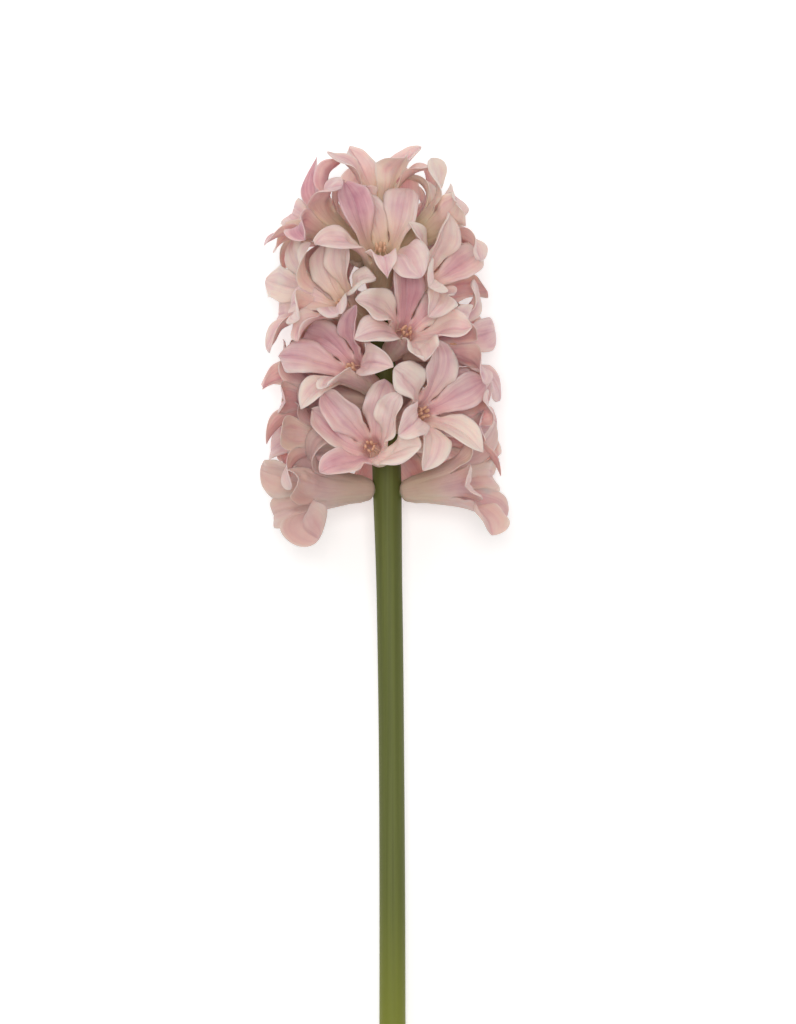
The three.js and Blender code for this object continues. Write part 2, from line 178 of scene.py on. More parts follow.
class LyingPlace:
    """Carries points from the stem's own frame, upright on its cut end, to where the flower lies.

    Attributes:
        tilt: How steeply the stem rises from the floor, in radians.
        origin: Where the middle of the cut end lies.
        turn: The rotation from the stem's frame.
        REST_AT: How high up the stem the florets under it meet the floor.
        REST_DEPTH: How far below the stem's middle they reach there.
        CUT_END_FLAT: How deep the cut end's edge is pressed flat on the floor.
        FOOT_BAND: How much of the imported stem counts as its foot.
    """

    REST_AT = 236.0
    REST_DEPTH = 32.6
    CUT_END_FLAT = 0.25
    FOOT_BAND = 2.0

    def __init__(self, line: StemLine) -> None:
        """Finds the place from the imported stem.

        Args:
            line: The stem's centre line.
        """
        stem = node_points("stem")
        foot_radius = line.outline[0][1]
        self.tilt = math.atan((self.REST_DEPTH - foot_radius) / self.REST_AT)
        cos, sin = math.cos(self.tilt), math.sin(self.tilt)
        lowest = stem[:, 1].min()
        foot = stem[stem[:, 1] < lowest + self.FOOT_BAND]
        middle = (foot[:, 0].min() + foot[:, 0].max()) / 2
        lifted = (foot_radius - self.CUT_END_FLAT) * cos
        self.origin = np.array([middle, lowest + foot_radius * sin, lifted])
        self.turn = np.array([[1, 0, 0], [0, cos, -sin], [0, sin, cos]])

    def points(self, points: Array) -> Array:
        """Carries points over."""
        return points @ self.turn.T + self.origin

    def directions(self, directions: Array) -> Array:
        """Carries directions over."""
        return directions @ self.turn.T


@dataclass(frozen=True)
class LobePlan:
    """One lobe as the photograph shows it.

    Attributes:
        angle: The direction it points, seen face on, in degrees.
        open: How far it turns out from the tube, in degrees.
        blush: From 0, cream, to 1, deep rose.
        point: How pointed its tip is, where 0 leaves that to chance.
        breadth: Its width against the plain form.
        turn: Degrees that it turns about its own line, besides what chance adds.
    """

    angle: float
    open: float
    blush: float = 0.4
    point: float = 0.0
    breadth: float = 1.0
    turn: float = 0.0


@dataclass(frozen=True)
class FloretPlan:
    """Where a floret sits and how its lobes spread.

    Attributes:
        at: Height on the stem.
        side: Direction round the stem in degrees.
        rise: Degrees above square to the stem.
        size: Against the perianth's own sizes.
        lobes: Its six lobes.
        green: How green its tube is, from 0 to 1.
        flare: How much wider its tube is than most.
        reach: How much further than most its stamens reach out.
        dull: How much painted shade greys and darkens its petals, from 0 to 1.
    """

    at: float
    side: float
    rise: float
    size: float
    lobes: tuple[LobePlan, ...]
    green: float = 0.35
    flare: float = 1.0
    reach: float = 0.0
    dull: float = 0.0


def floret(place: tuple[float, ...], *lobes: tuple[float, ...], **more: float) -> FloretPlan:
    """Plans a floret from its height, side, rise and size, its lobes and what else sets it apart."""
    return FloretPlan(*place, tuple(LobePlan(*lobe) for lobe in lobes), **more)


# Some florets low on the spike are given painted shade, which greys and darkens their petals.
FACING = (
    floret(
        (195, -72, 3, 1.02), (5, 62, 0.3), (50, 122, 0.35), (110, 100, 0.4),
        (158, 100, 0.2), (206, 96, 0.1, 0, 1, -20), (334, 84, 0.45, 0, 1.2, -35),
        green=0.6, flare=1.3, dull=1.0,
    ),
    floret(
        (194, 76, 9, 1.02), (12, 92, 0.15), (72, 110, 0.3), (130, 120, 0.2),
        (186, 112, 0.35), (228, 78, 0.3, 0, 1, 40), (322, 98, 0.6, 0, 1, 12),
        green=0.6, flare=1.3, dull=0.6,
    ),
    floret(
        (203, -14, 14, 0.95), (-8, 86, 0.05), (30, 100, 0.2), (72, 104, 0.45),
        (114, 90, 0.5), (150, 120, 0.45), (226, 64, 0.6),
        reach=0.9,
    ),
    floret(
        (208, -82, 8, 1), (0, 98, 0.1), (40, 128, 0.3), (110, 100, 0.5),
        (183, 100, 0.5), (240, 110, 0.45), (300, 105, 0.3),
        dull=0.4,
    ),
    floret(
        (215, 92, 4, 1), (-10, 95, 0.5), (55, 95, 0.5), (118, 92, 0.5),
        (170, 112, 0.4), (215, 122, 0.5), (290, 105, 0.5),
    ),
    floret(
        (213, 35, 14, 1), (33, 116, 0.55), (85, 95, 0.4), (148, 90, 0.25),
        (200, 128, 0.3), (250, 128, 0.15), (308, 108, 0.0, 1.1, 0.92),
    ),
    floret(
        (221, -98, 8, 1), (-15, 92, 0.6), (28, 104, 0.6), (90, 98, 0.6),
        (156, 105, 0.5), (220, 104, 0.6), (290, 100, 0.6),
        dull=0.3,
    ),
    floret(
        (223, -32, 23, 1), (-9, 112, 0.3), (58, 48, 0.8, 1.1, 0.85), (128, 100, 0.7),
        (180, 98, 0.5, 1.0), (250, 86, 0.1, 1.1, 0.9), (290, 66, 0.2),
    ),
    floret(
        (233, 22, 26, 1), (-27, 50, 0.3), (36, 122, 0.4), (84, 108, 0.7),
        (168, 96, 0.1), (197, 96, 0.25), (262, 80, 0.2),
    ),
    floret(
        (236, 84, 6, 1), (-24, 104, 0.5), (14, 84, 0.5), (80, 100, 0.4),
        (147, 140, 0.4), (200, 112, 0.5), (268, 104, 0.6),
    ),
    floret(
        (241, -42, 28, 0.94), (12, 84, 0.0), (76, 82, 0.15), (130, 90, 0.2),
        (190, 95, 0.3), (250, 90, 0.35), (320, 105, 0.4),
        green=0.9,
    ),
    floret(
        (247, -76, 14, 1), (-21, 140, 0.2), (24, 116, 0.05), (90, 88, 0.1),
        (150, 84, 0.2), (200, 92, 0.3), (300, 98, 0.4),
    ),
    floret(
        (247, 50, 28, 1), (24, 95, 0.35), (81, 70, 0.15, 1.1), (135, 84, 0.1, 1.2, 0.9),
        (190, 114, 0.05), (246, 128, 0.2), (290, 95, 0.4),
        green=0.7,
    ),
    floret(
        (251, 0, 42, 1.06), (-38, 88, 0.4), (68, 122, 0.35), (94, 108, 0.45),
        (120, 98, 0.95), (198, 90, 0.35, 1.0), (276, 126, 0.45, 1.3, 0.84),
        green=1.0, reach=2.6,
    ),
    floret(
        (262, -74, 36, 1), (-33, 74, 0.7), (15, 130, 0.5), (76, 110, 0.75, 1.5, 1, -40),
        (117, 90, 0.85, 1.6, 0.95), (200, 100, 0.4), (290, 108, 0.5),
        green=1.0,
    ),
    floret(
        (263, 76, 34, 0.96), (-24, 104, 0.4), (28, 112, 0.3), (74, 84, 0.05, 0, 1, -30),
        (122, 80, 0, 0, 1.1, -26), (186, 70, 0.2), (250, 112, 0.3),
        green=1.0,
    ),
    floret(
        (264, 0, 78, 0.92), (10, 104, 0.3), (32, 92, 0.45), (126, 58, 0.45, 1.3, 0.85),
        (180, 98, 0.4, 1.2, 1, -30), (238, 116, 0.3), (300, 72, 0.1),
        green=1.0,
    ),
)


@dataclass(frozen=True)
class Spike:
    """All florets of the spike: those that face the viewer one by one, the far ones by a rule.

    Attributes:
        rows: Rows of far florets up the stem.
        even_columns: The places in every other row, in steps from straight behind.
        odd_columns: Those in the rows between.
        odd_roll: Degrees that the lobes of those rows are rolled.
        first_row: The height of the lowest far row.
        row_step: The height from row to row.
        side_step: Degrees round the stem from place to place.
        first_rise: Degrees above square to the stem in the lowest far row.
        rise_step: How much steeper each row stands than the one below.
        open_below: Degrees that the lobes of the lowest far row turn out.
        open_step: How much less they turn out from row to row.
        size: Of a far floret, against the perianth's own sizes.
        inner_closer: How much less the inner lobes turn out.
        play: The chance in each lobe's direction and opening.
        seed_per_row: What a row adds to a floret's seed.
        seed_per_column: What a place in it adds.
        blush_seed: Seeds the colours of the far lobes.
        facing: The florets that face the viewer.
    """

    rows: int = 4
    even_columns: tuple[float, ...] = (-1, 0, 1)
    odd_columns: tuple[float, ...] = (-1.5, -0.5, 0.5, 1.5)
    odd_roll: float = 30
    first_row: float = 209
    row_step: float = 17
    side_step: float = 46
    first_rise: float = 6
    rise_step: float = 11
    open_below: float = 124
    open_step: float = 10
    size: float = 0.95
    inner_closer: float = 10
    play: float = 16
    seed_per_row: int = 1000
    seed_per_column: int = 100
    blush_seed: int = 77
    facing: tuple[FloretPlan, ...] = FACING

    def far_lobes(self, row: int, column: float, count: int, blush: SeededDraws) -> tuple[LobePlan, ...]:
        """The lobes of a far floret: evenly spread, the inner three less open, each with some play.

        Args:
            row: Its row from the base of the spike.
            column: Its place in the row, 0 straight behind the stem.
            count: How many lobes it has.
            blush: The draws for their colours.

        Returns:
            The lobes.
        """
        draws = SeededDraws(int(self.seed_per_row * (row + 1) + self.seed_per_column * (column + 2)))
        lobes = []
        for lobe in range(count):
            angle = lobe * 360 / count + self.odd_roll * (row % 2)
            angle += self.play * (draws.share() - 0.5)
            opening = self.open_below - self.open_step * row - lobe % 2 * self.inner_closer
            opening += self.play * (draws.share() - 0.5)
            lobes.append(LobePlan(angle, opening, blush.between(0.15, 0.6)))
        return tuple(lobes)

    def plans(self, count: int) -> list[FloretPlan]:
        """All florets in the order of their nodes.

        Args:
            count: How many lobes a floret has.

        Returns:
            The plans, those that face the viewer first.
        """
        plans = list(self.facing)
        blush = SeededDraws(self.blush_seed)
        for row in range(self.rows):
            at, rise = self.first_row + row * self.row_step, self.first_rise + self.rise_step * row
            for column in self.odd_columns if row % 2 else self.even_columns:
                lobes = self.far_lobes(row, column, count, blush)
                plans.append(FloretPlan(at, 180 + column * self.side_step, rise, self.size, lobes))
        return plans


@dataclass(frozen=True)
class LobePose:
    """How one lobe stands on its tube.

    Attributes:
        slot: The direction of its foot round the tube, in radians.
        swing: Degrees that its tip turns aside of that.
        open: Degrees that it turns out.
        whorl: Its ring.
        plan: What the photograph shows of it.
        flare: How much wider its tube is than most.
        length: The share of its length that a neighbour left it.
    """

    slot: float
    swing: float
    open: float
    whorl: Whorl
    plan: LobePlan
    flare: float
    length: float = 1.0

    def bent(self, opening: float, swing: float) -> "LobePose":
        """The lobe opened and swung aside by some degrees more."""
        return replace(self, open=self.open + opening, swing=self.swing + swing)


@dataclass(frozen=True)
class Dent:
    """A shallow dent in a lobe.

    Attributes:
        share: Where it lies between foot and tip.
        aside: How far off the midline.
        depth: Its depth, below 0 for a bump.
        size: Its radius.
    """

    share: float
    aside: float
    depth: float
    size: float

    def lift(self, share: Array, aside: Array, length: float) -> Array:
        """How far it lifts a lobe of a given length off its plain form."""
        away = ((share - self.share) * length) ** 2 + (aside - self.aside) ** 2
        return -self.depth * np.exp(-away / self.size**2)


@dataclass(frozen=True)
class LobeCharacter:
    """What makes one lobe differ from its neighbours.

    Attributes:
        taper: Its tip, from blunt at low values to pointed at high ones.
        fullness: Its width against the plain form.
        skew: How much wider its right half is than its left one.
        notch: How uneven its outline is.
        curl: Degrees that its tip bends further back, or forward if below 0.
        wave: How far its edges ripple.
        waves: How many ripples run along an edge.
        left_phase: Where the ripple of its left edge starts, in turns.
        right_phase: The same for its right edge.
        roll: How far its edges roll in, or back if below 0.
        twist: Degrees that it turns about its own line.
        fold: How far its hollow is folded along the middle instead of rounded.
        crease: Depth of the fine line along its middle.
        pleat: Depth of the soft folds beside it.
        slack: How far its middle bulges between foot and tip.
        extent: Its length against the plain form.
        dents: Its dents and bumps.
    """

    taper: float = 0.62
    fullness: float = 1.0
    skew: float = 0.0
    notch: float = 0.0
    curl: float = 0.0
    wave: float = 0.0
    waves: float = 1.0
    left_phase: float = 0.0
    right_phase: float = 0.0
    roll: float = 0.0
    twist: float = 0.0
    fold: float = 0.0
    crease: float = 0.0
    pleat: float = 0.0
    slack: float = 0.0
    extent: float = 1.0
    dents: tuple[Dent, ...] = ()

    @classmethod
    def drawn(cls, draws: SeededDraws, pose: LobePose, dented: int = 5) -> "LobeCharacter":
        """Draws the character of a lobe.

        Args:
            draws: The stream to draw from.
            pose: The lobe; outer ones are more pointed and curl back more.
            dented: How many dents and bumps it gets.

        Returns:
            The character.
        """
        outer = pose.whorl is Whorl.OUTER
        ranges = ((0.3, 0.95), (-4.5, 4.5), (-0.7, 0.9), (1.6, 3.2))
        dents = tuple(Dent(*(draws.between(*ends) for ends in ranges)) for _ in range(dented))
        taper = draws.between(0.66, 1.0) if outer else draws.between(0.5, 0.78)
        return cls(
            taper=pose.plan.point or taper,
            fullness=draws.between(0.98, 1.14),
            skew=draws.between(-0.12, 0.12),
            notch=draws.between(0.01, 0.05),
            curl=draws.between(-10, 32) if outer else draws.between(-22, 20),
            wave=draws.between(0.3, 1.0),
            waves=draws.between(0.8, 2.4),
            left_phase=draws.share(),
            right_phase=draws.share(),
            roll=draws.between(-1.1, 1.3),
            twist=draws.between(-15, 15) + pose.plan.turn,
            fold=draws.between(0.5, 1.25),
            crease=draws.between(0.25, 0.55),
            pleat=draws.between(0.06, 0.2),
            slack=draws.between(-0.5, 0.8),
            dents=dents,
        )

    def calmed(self, strength: float) -> "LobeCharacter":
        """Shows only some of what could make a lobe touch its neighbours.

        Args:
            strength: How much of it shows, from 0 to 1.

        Returns:
            The calmer character, its outline and its folds kept.
        """
        names = ("skew", "curl", "wave", "roll", "twist", "slack")
        calmer = {name: getattr(self, name) * strength for name in names}
        dents = tuple(replace(dent, depth=dent.depth * strength) for dent in self.dents)
        return replace(self, fullness=1 + (self.fullness - 1) * strength, dents=dents, **calmer)

    def girth(self, share: Array, across: Array) -> Array:
        """The width of each half against the plain form, along the lobe.

        Args:
            share: From foot to tip, in a column.
            across: From -1 to 1 over its width, in a row.

        Returns:
            The width at every row and column.
        """
        side, notches, offset = np.sign(across), 2.3, 0.37
        uneven = np.sin(2 * math.pi * (notches * share + self.left_phase + offset * side))
        return self.fullness * (1 + self.skew * side) * (1 + self.notch * uneven)


@dataclass(frozen=True)
class PerianthForm:
    """The form that all florets share: a tube that widens into six lobes, like a lily's.

    Attributes:
        seat_radius: From the stem's centre line to the tube's base.
        tube_length: From its base to its mouth.
        base_radius: The tube's radius at its base.
        mouth_radius: The tube's radius at its mouth.
        lobes: How many there are, every other one an inner one.
        lobe_length: From the mouth to a lobe's tip.
        half_width: Half the width of a lobe where it is widest.
        cup_radius: The radius of a lobe's hollow at its tip.
        thickness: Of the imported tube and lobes.
        widest_at: The share of its length where a lobe is widest.
        base_fullness: Its width at its foot against its greatest.
        foot_gain: How much fuller the feet are on a wide tube.
        roundness: How late a lobe narrows towards its tip.
        free_from: From which share of its length on a lobe may pass its sixth of the ring.
        free_gain: How fast it may widen past that.
        whorl_step: How far a lobe lies inside or outside the middle of both rings.
        waist: How much slimmer a lobe is over its foot.
        waist_at: The share of its length where it is slimmest.
        waist_spread: How far that reaches, likewise.
        closing_power: How late a stub closes.
        curl_from: The share of its length from which on the tip curls.
        fold_over: The shares between which the fold sets in.
        crease_width: Half the width of the line along the middle.
        pleats: How many soft folds lie beside it.
        line_steps: The steps in which a lobe's midline is followed.
    """

    seat_radius: float = 6.4
    tube_length: float = 13.8
    base_radius: float = 2.1
    mouth_radius: float = 5.2
    lobes: int = 6
    lobe_length: float = 19.5
    half_width: float = 5.6
    cup_radius: float = 9
    thickness: float = 0.7
    widest_at: float = 0.5
    base_fullness: float = 0.55
    foot_gain: float = 1.5
    roundness: float = 2.2
    free_from: float = 0.3
    free_gain: float = 5
    whorl_step: float = 0.42
    waist: float = 0.2
    waist_at: float = 0.1
    waist_spread: float = 0.14
    closing_power: float = 6
    curl_from: float = 0.5
    fold_over: Pair = (0.05, 0.4)
    crease_width: float = 0.6
    pleats: float = 2.5
    line_steps: int = 96

    def slope(self, flare: float) -> float:
        """The angle between the tube's wall and its axis."""
        return math.atan(flare * (self.mouth_radius - self.base_radius) / self.tube_length)

    def frame_of(self, plan: FloretPlan, line: StemLine) -> tuple[Array, Array]:
        """The floret's own axes and its seat in the stem's frame.

        Args:
            plan: The floret.
            line: The stem's centre line.

        Returns:
            The axes as the columns of a matrix, z along the tube and y towards the tip, and the seat.
        """
        side, rise = math.radians(plan.side), math.radians(plan.rise)
        axis = np.array([math.cos(rise) * math.sin(side), math.sin(rise), math.cos(rise) * math.cos(side)])
        seat = np.array([line.aside(plan.at), plan.at, 0]) + self.seat_radius * axis
        tipwards = np.array([0.0, 1.0, 0.0]) - axis[1] * axis
        tipwards /= np.linalg.norm(tipwards)
        return np.stack([np.cross(tipwards, axis), tipwards, axis], axis=1), seat

    def natural_poses(self, plan: FloretPlan) -> list[LobePose]:
        """The lobes as planned, before they bent clear of their neighbours.

        Args:
            plan: The floret.

        Returns:
            The pose of each lobe.
        """
        step = 360 / self.lobes
        offsets = [lobe.angle - index * step for index, lobe in enumerate(plan.lobes)]
        roll = sum(offsets) / self.lobes
        poses = []
        for index, lobe in enumerate(plan.lobes):
            slot, whorl = math.radians(roll + index * step), Whorl.INNER if index % 2 else Whorl.OUTER
            poses.append(LobePose(slot, offsets[index] - roll, lobe.open, whorl, lobe, plan.flare))
        return poses

    def half_widths(self, pose: LobePose, share: Array, taper: float) -> Array:
        """Half the width of a free lobe, which is slimmer over its foot unless its tube is wide.

        Args:
            pose: How the lobe stands.
            share: From foot to tip.
            taper: How pointed its tip is.

        Returns:
            The half widths.
        """
        swell = ease(share, 0, self.widest_at)
        foot = self.base_fullness * (1 + self.foot_gain * (pose.flare - 1))
        below = foot + (1 - foot) * swell
        waist = self.waist * np.exp(-(((share - self.waist_at) / self.waist_spread) ** 2))
        below = below * (1 - (waist if pose.flare == 1 else 0))
        part = np.clip((share - self.widest_at) / (1 - self.widest_at), 0, 1)
        above = (1 - part**self.roundness) ** taper
        return pose.plan.breadth * self.half_width * np.where(share < self.widest_at, below, above)

    def lobe_surface(
        self, pose: LobePose, share: Array, across: Array, lift: float, look: LobeCharacter
    ) -> Array:
        """Points of a lobe in the floret's own frame, at size 1.

        Args:
            pose: How the lobe stands.
            share: From foot to tip, in a column.
            across: From -1 to 1 over its width, in a row.
            lift: How far the points lie off its middle towards the floret's axis.
            look: What makes it differ from the plain form.

        Returns:
            The points, by row and column.
        """
        closing = np.sqrt(1 - share**self.closing_power) if pose.length < 1 else 1.0
        share = share * pose.length
        steps = np.linspace(0, 1, self.line_steps + 1)
        mouth = pose.flare * self.mouth_radius
        slope = self.slope(pose.flare)
        turn = math.radians(pose.open) - slope
        curl = math.radians(look.curl) * ease(steps, self.curl_from, 1) ** 2
        bends = slope + turn * steps + curl
        length = self.lobe_length * look.extent
        radii = mouth + length * running_sum(np.sin(bends))
        heights = self.tube_length + length * running_sum(np.cos(bends))
        bend, radius, height = (np.interp(share, steps, values) for values in (bends, radii, heights))
        angle = pose.slot + math.radians(pose.swing) * np.sin(share * math.pi / 2)
        cup = mouth + (self.cup_radius - mouth) * share
        ring = radius * math.pi / self.lobes + self.free_gain * np.maximum(0, share - self.free_from)
        half = self.half_widths(pose, share, look.taper) * look.girth(share, across)
        half = np.minimum(half, ring) * closing
        arc = across * half / cup
        step = pose.whorl.value * self.whorl_step * np.minimum(share / self.free_from, 1)
        rim_height = cup * (1 - np.cos(half / cup))
        fold = look.fold * rim_height * (np.abs(across) - across**2) * ease(share, *self.fold_over)
        lift = lift + fold + self.relief(look, share, across, across * half)
        inward = cup * (1 - np.cos(arc)) + lift + step
        sideways = (cup - lift) * np.sin(arc)
        out = radius - inward * np.cos(bend)
        up = height + inward * np.sin(bend)
        x = out * np.cos(angle) - sideways * np.sin(angle)
        y = out * np.sin(angle) + sideways * np.cos(angle)
        return joined(x, y, up)

    def relief(self, look: LobeCharacter, share: Array, across: Array, aside: Array) -> Array:
        """How far the crease, the folds and the rippled edges lift a lobe off its plain form.

        Args:
            look: The lobe's character.
            share: From foot to tip, in a column.
            across: From -1 to 1 over its width, in a row.
            aside: How far each point lies off the midline.

        Returns:
            The lift towards the floret's axis.
        """
        free = ease(share, 0, 0.35)
        fading = free * (1 - 0.7 * ease(share, 0.75, 1))
        crease = -look.crease * np.exp(-((aside / self.crease_width) ** 2)) * fading
        pleat = look.pleat * np.cos(self.pleats * math.pi * across) * free * ease(share, 1.0, 0.7)
        phase = np.where(across < 0, look.left_phase, look.right_phase)
        ripple = look.wave * np.sin(2 * math.pi * (look.waves * share + phase)) * np.abs(across) ** 2.5
        rolled = look.roll * np.abs(across) ** 3 * ease(share, 0.1, 0.8)
        twisted = np.tan(math.radians(look.twist) * share) * aside
        slack = look.slack * np.sin(math.pi * share) * (1 - across**2)
        dented = sum((dent.lift(share, aside, self.lobe_length) for dent in look.dents), 0 * aside)
        return crease + pleat + free * (ripple + twisted + slack + dented) + rolled


def running_sum(values: Array) -> Array:
    """The integral of evenly spaced values over 0 to 1, up to each of them."""
    middles = (values[1:] + values[:-1]) / 2
    return np.concatenate([[0.0], np.cumsum(middles)]) / (len(values) - 1)


@dataclass(frozen=True)
class BendFinder:
    """Finds how far each lobe of a packed floret bent aside to clear its neighbours.

    Attributes:
        open_steps: The steps that a lobe may open or close.
        open_step: Degrees to a step.
        swing_steps: The steps that it may swing aside.
        swing_step: Degrees to a step.
        rows: Shares of a lobe's length at which its solid has vertices.
        reach: The distance past which a missing vertex counts no more.
        lost_from: The mean distance past which a lobe counts as cut off.
        stub: The length that such a lobe keeps.
    """

    open_steps: tuple[int, ...] = (0, 1, -1, 2, -2, 3, 4)
    open_step: float = 14
    swing_steps: tuple[int, ...] = (0, 1, -1, 2, -2)
    swing_step: float = 9
    rows: tuple[float, ...] = (0.3, 0.6, 0.85, 1.0)
    reach: float = 0.8
    lost_from: float = 0.4
    stub: float = 0.3

    def find(self, form: PerianthForm, pose: LobePose, solid: Array) -> tuple[LobePose, float]:
        """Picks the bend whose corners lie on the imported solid's vertices.

        Args:
            form: The form of all florets.
            pose: The lobe as planned.
            solid: The floret's packed vertices in its own frame, at size 1.

        Returns:
            The lobe as it is bent, and how far its corners lie off the solid's on average.
        """
        share = np.array(self.rows)[:, None]
        across = np.array([[-1.0, 0.0, 1.0]])
        form = replace(form, waist=0.0, foot_gain=0.0)
        half = form.thickness / 2
        options = [
            pose.bent(opening * self.open_step, swing * self.swing_step)
            for opening in self.open_steps
            for swing in self.swing_steps
        ]
        plain, look = replace(pose.plan, breadth=1.0), LobeCharacter()
        scores = []
        for option in options:
            bare = replace(option, plan=plain)
            skins = [form.lobe_surface(bare, share, across, lift, look) for lift in (-half, half)]
            corners = np.concatenate(skins).reshape(-1, 3)
            gaps = np.linalg.norm(corners[:, None] - solid[None], axis=2).min(axis=1)
            scores.append(np.minimum(gaps, self.reach).mean())
        best = int(np.argmin(scores))
        found, score = options[best], float(scores[best])
        if score > self.lost_from:
            found = replace(found, length=self.stub)
        return found, score


@dataclass
class Tissue:
    """A skin under construction.

    Attributes:
        points: The points added so far, in batches.
        faces: The numbers of each face's points.
        places: Where each face corner lies on its petal.
        tones: What else the finish reads at each face corner.
        tone: Those of the petal at hand: its blush, and its floret's green and painted shade.
    """

    points: list[Array] = field(default_factory=list)
    faces: list[list[int]] = field(default_factory=list)
    places: list[Triple] = field(default_factory=list)
    tones: list[Triple] = field(default_factory=list)
    tone: Triple = (0.0, 0.0, 0.0)

    def add_points(self, points: Array) -> Array:
        """Adds points.

        Args:
            points: The points in any layout.

        Returns:
            Their numbers in the same layout.
        """
        count = sum(len(batch) for batch in self.points)
        self.points.append(points.reshape(-1, 3))
        return count + np.arange(points.size // 3).reshape(points.shape[:-1])

    def add_face(self, corners: Sequence[tuple[int, Triple]]) -> None:
        """Adds one face.

        Args:
            corners: Each corner's point and its place on the petal.
        """
        self.faces.append([number for number, _ in corners])
        self.places.extend(place for _, place in corners)
        self.tones.extend([self.tone] * len(corners))

    def add_sheet(self, numbers: Array, across: Array, along: Array, face: Face) -> None:
        """Adds a grid of faces.

        Args:
            numbers: The grid's points by row and column.
            across: The place of each column over the petal's width.
            along: The place of each row, -1 at the tube's base, 0 at its mouth and 1 at the tip.
            face: The side of the petal that it is.
        """
        side = float(face.value)
        for row in range(len(along) - 1):
            for column in range(len(across) - 1):
                corners = [
                    (numbers[row + r, column + c], (across[column + c], along[row + r], side))
                    for r, c in ((0, 0), (0, 1), (1, 1), (1, 0))
                ]
                self.add_face(corners if face is Face.OUTER else corners[::-1])

    def add_fan(
        self, ring: Array, centre: int, across: Array, along: Pair, face: Face, flip: bool = False
    ) -> None:
        """Closes a row of points onto one point.

        Args:
            ring: The row's points.
            centre: The point that they close onto.
            across: The place of each point over the petal's width.
            along: The place of the row and that of the point.
            face: The side of the petal that it is.
            flip: Whether the row runs the other way round the point.
        """
        side = float(face.value)
        for column in range(len(ring) - 1):
            corners = [
                (ring[column], (across[column], along[0], side)),
                (ring[column + 1], (across[column + 1], along[0], side)),
                (centre, ((across[column] + across[column + 1]) / 2, along[1], side)),
            ]
            self.add_face(corners if (face is Face.OUTER) is not flip else corners[::-1])

    def to_object(self, name: str, material: Material) -> Piece:
        """Makes the mesh and its object.

        Args:
            name: The piece's name.
            material: Its finish.

        Returns:
            The object, linked to the scene.
        """
        mesh = bpy.data.meshes.new(name)
        mesh.from_pydata((np.concatenate(self.points) * MM).tolist(), [], self.faces)
        places = mesh.attributes.new("petal_place", "FLOAT_VECTOR", "CORNER")
        places.data.foreach_set("vector", np.array(self.places, np.float32).ravel())
        for tone, values in zip(("blush", "green", "dull"), np.array(self.tones, np.float32).T):
            mesh.attributes.new(tone, "FLOAT", "CORNER").data.foreach_set("value", values.copy())
        mesh.shade_smooth()
        mesh.materials.append(material)
        mesh.update()
        return linked(name, mesh)


def linked(name: str, data: bpy.types.ID) -> Piece:
    """Makes an object for a mesh, a lamp or a camera and links it to the scene.

    Args:
        name: The object's name.
        data: What it holds.

    Returns:
        The object.
    """
    piece = bpy.data.objects.new(name, data)
    bpy.context.scene.collection.objects.link(piece)
    return piece


